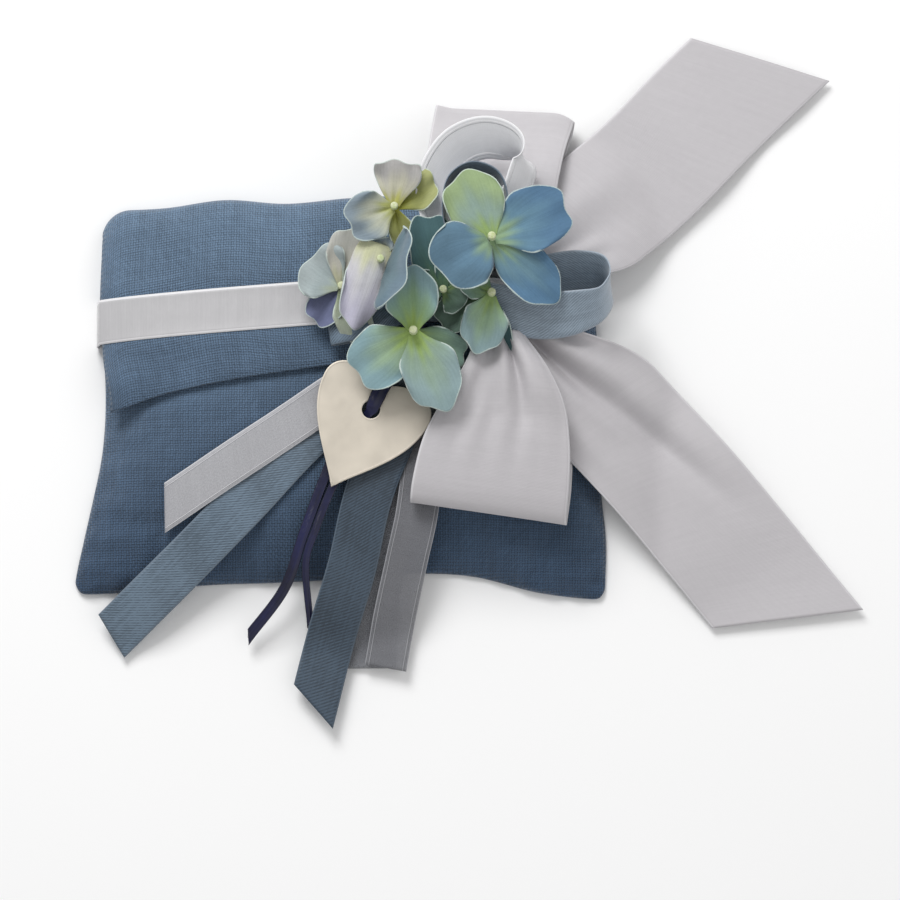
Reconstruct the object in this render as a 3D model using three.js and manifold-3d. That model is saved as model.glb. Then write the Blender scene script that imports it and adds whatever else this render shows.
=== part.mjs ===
// Scented sachet: a linen pouch with a fold-over flap, tied with ribbons, fabric florets and a heart charm.
// Millimetres, +Z up. The pouch lies on its back, and the origin is the middle of its back face.
import * as THREE from 'three';
import { mergeVertices } from 'three/addons/utils/BufferGeometryUtils.js';
import Module from 'manifold-3d';

const wasm = await Module();
wasm.setup();

// Pouch
const pouchWidth = 160;
const pouchHeight = 124;
const pouchThick = 13;
const clothThick = 0.6;
const layGap = 0.4;
const flapThick = 1;
const sidePower = 3.2;
const leftInsetShares = [-0.023, -0.007, 0.011, 0.027, 0.033, 0.031, 0.023, 0.027, 0.04];
const rightInsetShares = [-0.004, -0.006, 0.003, 0.009, 0.011, 0.011, 0.016, 0.014, 0.022];
const bottomInsetShares = [0.002, 0.01, 0.026, 0.032, 0.041, 0.055, 0.048, 0.007, -0.011];
const topInsetShares = [0.036, 0.014, -0.001, -0.005, -0.006, -0.008, -0.008, -0.004, 0.004];

// Flap: its lower edge as shares of the pouch's height, and the fold line of its free corner
const flapEdgeShares = [-0.052, -0.003, 0.029, 0.053, 0.071, 0.073, 0.061, 0.027, -0.032];
const flapTopInsetShare = 0.01;
const flapLowInsetShare = 0.03;
const cornerFoldShares = [[-0.46, 0.077], [-0.112, 0.052]];
const flapEaseShare = 0.03;
const cornerGap = 0.6;
const cornerLift = 4;
const cornerReachShare = 0.16;

// Band round the pouch
const bandWidth = 14;
const bandThick = 0.35;
const bandPlaceShare = 0.23;
const bandSlope = 0.0765;
const bandGroove = 1.2;
const pressReachShare = 0.65;

// Scent bag
const bagInset = 9;
const bagThick = 0.4;
const fillInset = 7;

// Ribbons
const bowWidth = 40;
const bowThick = 0.35;
const blueWidth = 15;
const sheerWidth = 13;
const organzaWidth = 20;
const ringWidth = 15;
const navyWidth = 3;
const ribbonThick = 0.35;
const navyThick = 0.5;
const layerStep = 0.75;
const drapeRadius = 40;
const drapeCell = 4;
const drapeMargin = 70;
const hairShare = 1e-6;

// How far each ribbon tail reaches, and how far each loop reaches and rises
const organzaReach = 106;
const blueLeftReach = 136;
const sheerLeftReach = 97;
const sheerRightReach = 104;
const blueCentreReach = 122;
const bowTailUpperReach = 116;
const bowTailLowerReach = 134;
const bowLoopUpperReach = 61.5;
const bowLoopUpperRise = 5.5;
const bowLoopLowerReach = 67;
const bowLoopLowerRise = 9;
const blueLoopLeftReach = 33;
const blueLoopLeftRise = 4;
const blueLoopRightReach = 36;
const blueLoopUpperReach = 44;
const ringReach = 50;

// Knots: where each is tied, as shares of the pouch's width and height, and its half sizes
const bowKnotShares = [0.281, 0.23];
const bowKnotRadii = [8, 7, 5];
const blueKnotShares = [0.17, 0.215];
const blueKnotRadii = [6.5, 5.5, 3.2];
const tailStartShares = [0.15, 0.155];

// Florets and stems. A petal is its heading, its length and width shares, its lift and roll, its cup and curl
const petalLength = 25;
const petalWidth = 18;
const petalThick = 0.5;
const weldShare = 0.01;
const petalOutlineShares = [[0, 0.2], [0.2, 0.42], [0.42, 0.8], [0.64, 1], [0.84, 0.86], [0.97, 0.45]];
const eyeRadius = 2;
const eyeThick = 1.2;
const pipRadius = 1.5;
const pipHeight = 2.4;
const pipShares = [[0, 0], [0.8, 0], [1, 0.35], [0.7, 0.8], [0, 1]];
const stemThick = 1.2;
const stemSeat = 0.6;
const stemRingShare = 0.7;
const stemKneeShare = 0.12;
const stemNeckShare = 0.85;
const bindingRadius = 2.8;
const bindingHeight = 3;
const flowerHeight = 24;
const florets = [
  {
    finish: 'petalBlue', placeShares: [0.283, 0.356, 1], stemAngle: 50,
    petals: [[127, 0.95, 1, 8], [28, 0.98, 1, 5], [-46, 1, 0.95, -5], [200, 0.8, 1.1, 12, 20]],
  },
  {
    finish: 'petalGreen', placeShares: [0.133, 0.127, 0.8], stemAngle: 255,
    petals: [[93, 0.8, 0.92, 10], [212, 0.88, 0.95, -4], [-70, 0.95, 1, -6], [10, 0.6, 0.75, -18, 0, 0.04]],
  },
  {
    finish: 'petalTeal', placeShares: [0.283, 0.226, 0.7], stemAngle: 0,
    petals: [[248, 0.74, 0.85, 0], [300, 0.7, 0.6, -4], [150, 0.24, 0.5, 5], [40, 0.45, 0.6, 14]],
  },
  {
    finish: 'petalWhite', placeShares: [0.096, 0.443, 0.73], stemAngle: 105,
    petals: [[75, 0.64, 0.82, 25], [200, 0.7, 0.95, 10], [6, 0.6, 0.7, 16], [-80, 0.25, 0.55, 35]],
  },
  {
    finish: 'petalWhite', placeShares: [0.07, 0.312, 0.69], stemAngle: 150,
    petals: [[232, 0.9, 0.78, 0], [15, 0.28, 0.6, 40], [100, 0.22, 0.6, 20], [320, 0.25, 0.55, 35]],
  },
  {
    finish: 'petalGreen', placeShares: [-0.006, 0.252, 0.45], stemAngle: 203,
    petals: [[132, 0.65, 0.85, 0], [75, 0.7, 0.68, 4], [215, 0.62, 0.8, -4], [285, 0.66, 0.6, -5]],
  },
  {
    finish: 'petalTeal', placeShares: [0.19, 0.235, 0.7], stemAngle: 0, stemReachShare: 0,
    petals: [[110, 0.86, 0.92, 3], [90, 0.5, 0.5, 6], [180, 0.4, 0.7, 0], [-30, 0.26, 0.6, 3]],
  },
];

// Heart charm: its tip, and the curves up its right side, as shares of half its width and of its length
const charmWidth = 36;
const charmLength = 38;
const charmThick = 1.5;
const charmHole = 5.6;
const charmLayer = 5.1;
const heartTipShares = [0, -0.71];
const heartSideShares = [
  [[0.3, -0.497], [1, -0.241], [1, 0.1]],
  [[1, 0.232], [0.78, 0.29], [0.5, 0.29]],
  [[0.25, 0.29], [0.06, 0.247], [0, 0.17]],
];
const charmTurn = THREE.MathUtils.degToRad(-27);
const charmHoleShares = [0.051, -0.052];

// Navy ribbons: one through the charm's hole and two tails, as shares of a reach from the hole
const navyReach = 76;
const navyOverShares = [[0.2, 0.35], [0.12, 0.2], [0.05, 0.1], [0.025, 0.045]];
const navyUnderShares = [
  [-0.045, -0.05], [-0.08, -0.16], [-0.162, -0.32], [-0.225, -0.48], [-0.263, -0.6], [-0.246, -0.87],
];
const navyLeftShares = [
  [-0.11, -0.07], [-0.145, -0.16], [-0.205, -0.31], [-0.275, -0.5], [-0.35, -0.71], [-0.5, -0.905],
];
const navyRightShares = [[0.0, -0.12], [-0.055, -0.22], [-0.123, -0.33], [-0.175, -0.49], [-0.205, -0.6]];

// Value at share t along a table of evenly spaced shares, on a smooth curve through them
function along(shares, t) {
  const last = shares.length - 1;
  const place = THREE.MathUtils.clamp(t, 0, 1) * last;
  const index = Math.min(Math.floor(place), last - 1);
  const pick = (k) => shares[THREE.MathUtils.clamp(k, 0, last)];
  const f = place - index;
  const [a, b, c, d] = [pick(index - 1), pick(index), pick(index + 1), pick(index + 2)];
  const bend = (2 * a - 5 * b + 4 * c - d) * f * f + (3 * b - a - 3 * c + d) * f * f * f;
  return b + ((c - a) * f + bend) / 2;
}

const lerp = THREE.MathUtils.lerp;
const smooth = THREE.MathUtils.smoothstep;

const leftX = (t) => pouchWidth * (along(leftInsetShares, t) - 1 / 2);
const rightX = (t) => pouchWidth * (1 / 2 - along(rightInsetShares, t));
const bottomY = (s) => pouchHeight * (along(bottomInsetShares, s) - 1 / 2);
const topY = (s) => pouchHeight * (1 / 2 - along(topInsetShares, s));

// Point of the pouch's outline area at shares s across and t up
function pouchPoint(s, t) {
  return [lerp(leftX(t), rightX(t), s), lerp(bottomY(s), topY(s), t)];
}

// Shares s and t of a point, the inverse of pouchPoint
function pouchShares(x, y) {
  let s = 1 / 2;
  let t = 1 / 2;
  for (let turn = 0; turn < 4; turn += 1) {
    t = (y - bottomY(s)) / (topY(s) - bottomY(s));
    s = (x - leftX(t)) / (rightX(t) - leftX(t));
  }
  return [s, t];
}

// Round-shouldered rise from zero at both ends of a span to one over its middle
const swell = (share, power) => Math.sqrt(Math.max(0, 1 - Math.abs(2 * share - 1) ** power));

const seamThick = 2 * clothThick + layGap;
const bandY = (x) => pouchHeight * bandPlaceShare + bandSlope * x;

// How far the band presses the cloth in, as a share of the groove
function pressShare(x, y) {
  return Math.exp(-(((y - bandY(x)) / (bandWidth * pressReachShare)) ** 4));
}

// How far the band's run underneath lifts the cloth off the table
function wrapLift(x, y) {
  const away = Math.abs(y - bandY(x)) - bandWidth / 2;
  return (bandThick + layGap) * (1 - smooth(away, layGap, bandWidth / 2));
}

// Height of the front panel's outer face, or of a looser layer that rounds its edges less by the ease share
function frontHeight(x, y, easeShare = 0) {
  const [s, t] = pouchShares(x, y);
  const fullness = swell(lerp(s, 1 / 2, easeShare), sidePower) * swell(lerp(t, 1 / 2, easeShare), sidePower);
  const crown = (pouchThick - seamThick) * fullness - bandGroove * fullness * pressShare(x, y);
  return seamThick + crown + wrapLift(x, y);
}

const flapEdgeY = (s) => pouchHeight * along(flapEdgeShares, s);
const foldLeft = cornerFoldShares[0];
const foldRight = cornerFoldShares[1];
const foldSlope = ((foldRight[1] - foldLeft[1]) * pouchHeight) / ((foldRight[0] - foldLeft[0]) * pouchWidth);
const cornerFoldY = (x) => foldLeft[1] * pouchHeight + foldSlope * (x - foldLeft[0] * pouchWidth);

// Height of the flap's lower face: it lies on the front panel, and stands off it at the free left corner
function flapHeight(x, y) {
  const base = frontHeight(x, y, flapEaseShare) + layGap;
  const [s] = pouchShares(x, y);
  const below = smooth(bandY(x) - bandWidth / 2 - y, 0, bandWidth);
  const outer = 1 - smooth(s, 0, cornerReachShare);
  return base + cornerLift * below * outer * outer;
}

// Height of the topmost cloth at a place, and zero past the pouch
function clothTop(x, y) {
  const [s, t] = pouchShares(x, y);
  if (s < 0 || s > 1 || t < 0 || t > 1) {
    return 0;
  }
  return y > flapEdgeY(s) ? flapHeight(x, y) + flapThick : frontHeight(x, y);
}

// Height at which a springy ribbon lies over the cloth: it bends no tighter than the drape radius
function makeDrape() {
  const halfX = pouchWidth / 2 + drapeMargin;
  const halfY = pouchHeight / 2 + drapeMargin;
  const columns = Math.ceil((2 * halfX) / drapeCell);
  const rows = Math.ceil((2 * halfY) / drapeCell);
  const raw = [];
  for (let j = 0; j <= rows; j += 1) {
    raw.push([]);
    for (let i = 0; i <= columns; i += 1) {
      raw[j].push(clothTop(i * drapeCell - halfX, j * drapeCell - halfY));
    }
  }
  const spread = Math.ceil(Math.sqrt(2 * drapeRadius * pouchThick) / drapeCell);
  const eased = raw.map((line, j) => line.map((own, i) => {
    let best = own;
    for (let b = Math.max(0, j - spread); b <= Math.min(rows, j + spread); b += 1) {
      for (let a = Math.max(0, i - spread); a <= Math.min(columns, i + spread); a += 1) {
        const away = ((a - i) ** 2 + (b - j) ** 2) * drapeCell * drapeCell;
        best = Math.max(best, raw[b][a] - away / (2 * drapeRadius));
      }
    }
    return best;
  }));
  return (x, y) => {
    const u = THREE.MathUtils.clamp((x + halfX) / drapeCell, 0, columns - hairShare);
    const v = THREE.MathUtils.clamp((y + halfY) / drapeCell, 0, rows - hairShare);
    const i = Math.floor(u);
    const j = Math.floor(v);
    const low = lerp(eased[j][i], eased[j][i + 1], u - i);
    const high = lerp(eased[j + 1][i], eased[j + 1][i + 1], u - i);
    return lerp(low, high, v - j);
  };
}
const drape = makeDrape();

// Middle height of a ribbon of one layer of the pile on the cloth
const layerHeight = (x, y, layer, thick) => drape(x, y) + layGap + layer * layerStep + thick / 2;

// Turns a closed mesh so that its faces point outwards
function outward(geometry) {
  const place = geometry.getAttribute('position');
  const index = geometry.getIndex();
  const [a, b, c] = [new THREE.Vector3(), new THREE.Vector3(), new THREE.Vector3()];
  let volume = 0;
  for (let k = 0; k < index.count; k += 3) {
    a.fromBufferAttribute(place, index.getX(k));
    b.fromBufferAttribute(place, index.getX(k + 1));
    c.fromBufferAttribute(place, index.getX(k + 2));
    volume += a.dot(b.cross(c));
  }
  if (volume < 0) {
    const flipped = [];
    for (let k = 0; k < index.count; k += 3) {
      flipped.push(index.getX(k), index.getX(k + 2), index.getX(k + 1));
    }
    geometry.setIndex(flipped);
  }
  geometry.computeVertexNormals();
  return geometry;
}

// Closed solid between two grids of points; a ring joins its last row to its first
function slab(tops, bottoms, ring = false) {
  const rows = tops.length;
  const columns = tops[0].length;
  const top = (i, j) => (i % rows) * columns + j;
  const bottom = (i, j) => rows * columns + top(i, j);
  const faces = [];
  const quad = (a, b, c, d) => faces.push(a, b, c, a, c, d);
  const spans = ring ? rows : rows - 1;
  for (let i = 0; i < spans; i += 1) {
    for (let j = 0; j < columns - 1; j += 1) {
      quad(top(i, j), top(i + 1, j), top(i + 1, j + 1), top(i, j + 1));
      quad(bottom(i, j), bottom(i, j + 1), bottom(i + 1, j + 1), bottom(i + 1, j));
    }
    quad(top(i, 0), bottom(i, 0), bottom(i + 1, 0), top(i + 1, 0));
    quad(top(i, columns - 1), top(i + 1, columns - 1), bottom(i + 1, columns - 1), bottom(i, columns - 1));
  }
  for (let j = 0; !ring && j < columns - 1; j += 1) {
    quad(top(0, j), top(0, j + 1), bottom(0, j + 1), bottom(0, j));
    quad(top(rows - 1, j), bottom(rows - 1, j), bottom(rows - 1, j + 1), top(rows - 1, j + 1));
  }
  const geometry = new THREE.BufferGeometry();
  const places = [...tops, ...bottoms].flat().flatMap((point) => [point.x, point.y, point.z]);
  geometry.setAttribute('position', new THREE.Float32BufferAttribute(places, 3));
  geometry.setIndex(faces);
  return outward(geometry);
}

// Solid of even thickness round a grid of middle points
function sheetSolid(middles, thick, ring = false) {
  const rows = middles.length;
  const columns = middles[0].length;
  const tops = [];
  const bottoms = [];
  for (let i = 0; i < rows; i += 1) {
    tops.push([]);
    bottoms.push([]);
    for (let j = 0; j < columns; j += 1) {
      const ahead = ring ? middles[(i + 1) % rows][j] : middles[Math.min(i + 1, rows - 1)][j];
      const behind = ring ? middles[(i + rows - 1) % rows][j] : middles[Math.max(i - 1, 0)][j];
      const right = middles[i][Math.min(j + 1, columns - 1)];
      const left = middles[i][Math.max(j - 1, 0)];
      const normal = ahead.clone().sub(behind).cross(right.clone().sub(left)).normalize();
      tops[i].push(middles[i][j].clone().addScaledVector(normal, thick / 2));
      bottoms[i].push(middles[i][j].clone().addScaledVector(normal, -thick / 2));
    }
  }
  return slab(tops, bottoms, ring);
}

// Shares from 0 to 1 in even steps, drawn towards both ends by crowd
function steps(count, crowd = 0) {
  return Array.from({ length: count + 1 }, (_, k) => {
    const even = k / count;
    return lerp(even, (1 - Math.cos(Math.PI * even)) / 2, crowd);
  });
}

const group = new THREE.Group();

// Adds one named sub-part to the sachet
function add(name, geometry, finish) {
  const [color, roughness, metalness] = finish;
  const mesh = new THREE.Mesh(geometry, new THREE.MeshStandardMaterial({ color, roughness, metalness }));
  mesh.name = name;
  group.add(mesh);
  return mesh;
}

const finishes = {
  linen: [0x4f7396, 0.9, 0],
  muslin: [0xe8e2d4, 0.95, 0],
  filling: [0x8c7a66, 1, 0],
  satin: [0xd8d6d6, 0.45, 0],
  bow: [0xc9c4cb, 0.6, 0],
  blue: [0x58708a, 0.6, 0],
  sheer: [0x9c9ca2, 0.5, 0],
  navy: [0x2c2c5e, 0.4, 0],
  metal: [0xd8cfc0, 0.35, 1],
  petalBlue: [0x86a8bd, 0.8, 0],
  petalGreen: [0xa9bf98, 0.8, 0],
  petalTeal: [0x84b0a4, 0.8, 0],
  petalWhite: [0xdcdce2, 0.8, 0],
  pip: [0xdfe0b4, 0.7, 0],
  stem: [0x6f8a4a, 0.7, 0],
};

// Grid of heights over a grid of places
function lifted(places, height) {
  return places.map((line) => line.map(([x, y]) => new THREE.Vector3(x, y, height(x, y))));
}

// Linen pouch, sewn from a back and a front
function addPanels() {
  const upShares = steps(14, 0.75);
  const places = steps(16, 0.75).map((s) => upShares.map((t) => pouchPoint(s, t)));
  const backTop = (x, y) => wrapLift(x, y) + clothThick;
  const frontUnder = (x, y) => frontHeight(x, y) - clothThick;
  add('back_panel', slab(lifted(places, backTop), lifted(places, wrapLift)), finishes.linen);
  add('front_panel', slab(lifted(places, frontHeight), lifted(places, frontUnder)), finishes.linen);
}

// Muslin bag inside the pouch, and the scented filling inside the bag
function addScentBag() {
  const across = bagInset / pouchWidth;
  const up = bagInset / pouchHeight;
  const fillAcross = fillInset / pouchWidth;
  const fillUp = fillInset / pouchHeight;
  const floor = (x, y) => wrapLift(x, y) + clothThick + layGap;
  const roof = (x, y) => frontHeight(x, y) - clothThick - layGap;
  const fullness = (x, y) => {
    const [s, t] = pouchShares(x, y);
    const own = (share, inset) => (share - inset) / (1 - 2 * inset);
    return swell(own(s, across), sidePower) * swell(own(t, up), sidePower);
  };
  const seam = 2 * bagThick + layGap;
  const bagTop = (x, y) => floor(x, y) + lerp(seam, roof(x, y) - floor(x, y), fullness(x, y));
  const grid = (insetAcross, insetUp, columns, rows) => steps(columns, 0.6).map((a) => steps(rows, 0.6)
    .map((b) => pouchPoint(lerp(insetAcross, 1 - insetAcross, a), lerp(insetUp, 1 - insetUp, b))));
  const bag = grid(across, up, 10, 8);
  const raised = (height, by) => (x, y) => height(x, y) + by;
  add('scent_bag_back', slab(lifted(bag, raised(floor, bagThick)), lifted(bag, floor)), finishes.muslin);
  add('scent_bag_front', slab(lifted(bag, bagTop), lifted(bag, raised(bagTop, -bagThick))), finishes.muslin);
  const fill = grid(across + fillAcross, up + fillUp, 8, 6);
  const fillTop = raised(bagTop, -bagThick - 2 * layGap);
  const fillFloor = () => bandThick + clothThick + bagThick + 4 * layGap;
  add('scent_filling', slab(lifted(fill, fillTop), lifted(fill, fillFloor)), finishes.filling);
}

// Point of the flap at share s across and share r from the pouch's top edge down to the given lower edge
function flapPlace(a, r, lowEdge) {
  const inset = lerp(flapTopInsetShare, flapLowInsetShare, r);
  const s = lerp(inset, 1 - inset, a);
  const y = lerp(topY(s), lowEdge(s), r);
  const t = (y - bottomY(s)) / (topY(s) - bottomY(s));
  return pouchPoint(s, t);
}

// Flap folded over the pouch's top edge, and its free lower left corner, which lifts about the fold line
function addFlap() {
  const foldAt = (s) => cornerFoldY(lerp(leftX(1 / 2), rightX(1 / 2), s));
  const fixedEdge = (s) => Math.max(flapEdgeY(s), foldAt(s));
  const meet = 1 / 2 + foldRight[0];
  const freeShares = steps(7, 0.3).map((a) => a * meet);
  const heldShares = steps(8).slice(1).map((a) => lerp(meet, 1, a));
  const acrossShares = [...freeShares, ...heldShares];
  const downShares = [0.02, 0.06, 0.14, 0.26, 0.4, 0.52, 0.64, 0.76, 0.88, 1];
  const tops = [];
  const bottoms = [];
  for (const a of acrossShares) {
    const inset = flapTopInsetShare;
    const s = lerp(inset, 1 - inset, a);
    const x = pouchPoint(s, 1)[0];
    const fold = topY(s) + layGap;
    const turnTop = seamThick + layGap;
    const low = [0, turnTop].map((z) => new THREE.Vector3(x, fold, z));
    const high = [0, turnTop].map((z) => new THREE.Vector3(x, fold + flapThick, z));
    for (const r of downShares) {
      const [px, py] = flapPlace(a, r, fixedEdge);
      const z = flapHeight(px, py);
      low.push(new THREE.Vector3(px, py, z));
      high.push(new THREE.Vector3(px, py, z + flapThick));
    }
    tops.push(high);
    bottoms.push(low);
  }
  add('flap', slab(tops, bottoms), finishes.linen);

  const cornerTops = [];
  const cornerBottoms = [];
  for (const a of steps(7, 0.3)) {
    const s = lerp(flapLowInsetShare, meet - flapLowInsetShare, a);
    const x = lerp(leftX(1 / 2), rightX(1 / 2), s);
    const line = steps(3).map((r) => {
      const y = lerp(cornerFoldY(x) - cornerGap, flapEdgeY(s), r);
      return new THREE.Vector3(x, y, flapHeight(x, y));
    });
    cornerBottoms.push(line);
    cornerTops.push(line.map((point) => point.clone().setZ(point.z + flapThick)));
  }
  add('flap_corner', slab(cornerTops, cornerBottoms), finishes.linen);
}

// Satin band once round the pouch, over the flap and flat underneath
function addBand() {
  const left = leftX(1 / 2 + bandPlaceShare);
  const right = rightX(1 / 2 + bandPlaceShare);
  const wrapOut = 2 * layGap + bandThick;
  const stations = steps(22, 0.8).map((s) => [-1, 0, 1].map((side) => {
    const x = lerp(left, right, s);
    const y = bandY(x) + (side * bandWidth) / 2;
    return new THREE.Vector3(x, y, flapHeight(x, y) + flapThick + layGap + bandThick / 2);
  }));
  const turn = (x, z) => [-1, 0, 1].map((side) => new THREE.Vector3(x, bandY(x) + (side * bandWidth) / 2, z));
  const low = bandThick / 2;
  stations.push(turn(right + wrapOut, seamThick + layGap));
  stations.push(turn(right + wrapOut / 2, low));
  stations.push(turn(right / 2, low));
  stations.push(turn(left / 2, low));
  stations.push(turn(left - wrapOut / 2, low));
  stations.push(turn(left - wrapOut, seamThick + layGap));
  add('band_ribbon', sheetSolid(stations, bandThick, true), finishes.satin);
}

// Ribbon that lies in the pile on the cloth, along a course of shares of its reach
function laidRibbon(spec) {
  const { start, reach, courseShares, width, layer, steps: count } = spec;
  const { neckShare = 1, neckReach = 0.3, slantShare = 0, columns = 2, thick = ribbonThick } = spec;
  const foot = new THREE.Vector3(...start, 0);
  const points = courseShares.map(([x, y]) => new THREE.Vector3(x, y, 0).multiplyScalar(reach).add(foot));
  const curve = new THREE.CatmullRomCurve3(points, false, 'centripetal');
  const length = curve.getLength();
  const rows = steps(count).map((u) => steps(columns).map((v) => {
    const side = slantShare > 0 ? 1 - v : v;
    const at = u * (1 - (Math.abs(slantShare) * width * side) / length);
    const point = curve.getPointAt(at);
    const heading = curve.getTangentAt(at);
    const broad = width * lerp(neckShare, 1, smooth(u, 0, neckReach));
    const x = point.x + heading.y * (v - 1 / 2) * broad;
    const y = point.y - heading.x * (v - 1 / 2) * broad;
    return new THREE.Vector3(x, y, layerHeight(x, y, layer, thick));
  }));
  return sheetSolid(rows, thick);
}

const onPouch = ([x, y]) => [x * pouchWidth, y * pouchHeight];
const bowKnot = onPouch(bowKnotShares);
const blueKnot = onPouch(blueKnotShares);
const tailStart = onPouch(tailStartShares);

const laidSpecs = [
  {
    name: 'organza_tail', finish: finishes.sheer, start: tailStart,
    reach: organzaReach, width: organzaWidth, layer: 0,
    courseShares: [[0, 0], [-0.12, -0.22], [-0.21, -0.5], [-0.225, -0.77], [-0.205, -0.9], [-0.18, -0.98]],
    neckShare: 0.5, steps: 20,
  },
  {
    name: 'blue_tail_left', finish: finishes.blue, start: tailStart,
    reach: blueLeftReach, width: blueWidth, layer: 1,
    courseShares: [[0, 0], [-0.13, -0.12], [-0.28, -0.26], [-0.42, -0.41], [-0.57, -0.56], [-0.716, -0.7]],
    neckShare: 0.5, slantShare: -0.22, steps: 22,
  },
  {
    name: 'sheer_tail_left', finish: finishes.sheer, start: tailStart,
    reach: sheerLeftReach, width: sheerWidth, layer: 2,
    courseShares: [[0, 0], [-0.15, -0.12], [-0.34, -0.25], [-0.58, -0.41], [-0.856, -0.594]],
    neckShare: 0.5, slantShare: -0.64, steps: 15,
  },
  {
    name: 'sheer_tail_right', finish: finishes.sheer, start: tailStart,
    reach: sheerRightReach, width: sheerWidth, layer: 3,
    courseShares: [[0, 0], [0.01, -0.25], [-0.015, -0.54], [-0.045, -0.68], [-0.085, -0.86], [-0.11, -1]],
    neckShare: 0.5, steps: 20,
  },
  {
    name: 'blue_tail_centre', finish: finishes.blue, start: tailStart,
    reach: blueCentreReach, width: blueWidth, layer: 4,
    courseShares: [[0, 0], [-0.05, -0.2], [-0.135, -0.42], [-0.18, -0.61], [-0.23, -0.77], [-0.286, -0.993]],
    neckShare: 0.5, slantShare: -0.7, steps: 22,
  },
  {
    name: 'bow_tail_upper', finish: finishes.bow, start: bowKnot,
    reach: bowTailUpperReach, width: bowWidth, layer: 1,
    courseShares: [[0.06, 0.05], [0.16, 0.13], [0.335, 0.27], [0.464, 0.386], [0.594, 0.526], [0.8, 0.732]],
    neckShare: 0.3, slantShare: 0.54, steps: 16, columns: 4,
  },
  {
    name: 'bow_tail_lower', finish: finishes.bow, start: bowKnot,
    reach: bowTailLowerReach, width: bowWidth, layer: 1,
    courseShares: [
      [0.05, -0.05], [0.164, -0.15], [0.28, -0.26], [0.43, -0.42], [0.568, -0.583], [0.745, -0.803],
    ],
    neckShare: 0.3, slantShare: -0.62, steps: 16, columns: 4,
  },
];

function addLaidRibbons() {
  for (const spec of laidSpecs) {
    add(spec.name, laidRibbon(spec), spec.finish);
  }
}

// Flat loop: out from its knot over the pile, a fold, and back above it, as shares of reach, rise and width
const loopShares = [
  [0.16, 0, 0.3], [0.27, 0, 0.6], [0.42, 0, 0.92], [0.62, 0, 1], [0.82, 0.02, 1], [0.94, 0.12, 1],
  [0.99, 0.32, 1], [1, 0.5, 1], [0.985, 0.7, 1], [0.93, 0.88, 1], [0.8, 1, 1], [0.62, 1.08, 1],
  [0.42, 1.08, 0.92], [0.27, 0.92, 0.6], [0.16, 0.62, 0.3],
];

function foldedLoop({ knot, heading, splay, reach, rise, width, layer, footShare = loopShares[0][0] }) {
  const last = loopShares.length - 1;
  const fit = (1 - footShare) / (1 - loopShares[0][0]);
  const rows = loopShares.map(([share, up, broad], k) => {
    const out = 1 + (share - 1) * fit;
    const turn = THREE.MathUtils.degToRad(heading + lerp(-splay, splay, k / last) / 2);
    const [ahead, aside] = [Math.cos(turn), Math.sin(turn)];
    const cx = knot[0] + ahead * out * reach;
    const cy = knot[1] + aside * out * reach;
    return steps(4).map((v) => {
      const x = cx + aside * (v - 1 / 2) * width * broad;
      const y = cy - ahead * (v - 1 / 2) * width * broad;
      return new THREE.Vector3(x, y, layerHeight(x, y, layer, bowThick) + up * rise);
    });
  });
  return sheetSolid(rows, bowThick);
}

const foldedSpecs = [
  {
    name: 'bow_loop_upper', finish: finishes.bow, knot: bowKnot, heading: 85, splay: 3,
    reach: bowLoopUpperReach, rise: bowLoopUpperRise, width: bowWidth, layer: 2,
  },
  {
    name: 'bow_loop_lower', finish: finishes.bow, knot: bowKnot, heading: -90, splay: -6,
    reach: bowLoopLowerReach, rise: bowLoopLowerRise, width: bowWidth, layer: 4,
  },
  {
    name: 'blue_loop_left', finish: finishes.blue, knot: blueKnot, heading: 190, splay: 0,
    reach: blueLoopLeftReach, rise: blueLoopLeftRise, width: blueWidth, layer: 3, footShare: 0.24,
  },
];

function addFoldedLoops() {
  for (const spec of foldedSpecs) {
    add(spec.name, foldedLoop(spec), spec.finish);
  }
}

// Ribbon that stands free along a course in space, its width turned towards a given lean at each point
function freeRibbon({ start, height, reach, courseShares, leanShares, width, count, thick = ribbonThick }) {
  const points = courseShares.map(([x, y, z]) => new THREE.Vector3(x, y, z).multiplyScalar(reach)
    .add(new THREE.Vector3(start[0], start[1], height)));
  const curve = new THREE.CatmullRomCurve3(points, false, 'centripetal');
  const rows = steps(count).map((u) => {
    const point = curve.getPoint(u);
    const heading = curve.getTangent(u);
    const lean = new THREE.Vector3(...[0, 1, 2].map((axis) => along(leanShares.map((one) => one[axis]), u)));
    lean.addScaledVector(heading, -lean.dot(heading)).normalize();
    return steps(2).map((v) => point.clone().addScaledVector(lean, (v - 1 / 2) * width));
  });
  return sheetSolid(rows, thick);
}

// Height just clear of the cloth and of the band at a place
function seatHeight([x, y]) {
  const bandTop = flapHeight(x, y) + flapThick + layGap + bandThick;
  return Math.max(drape(x, y), bandTop) + layGap;
}

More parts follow.
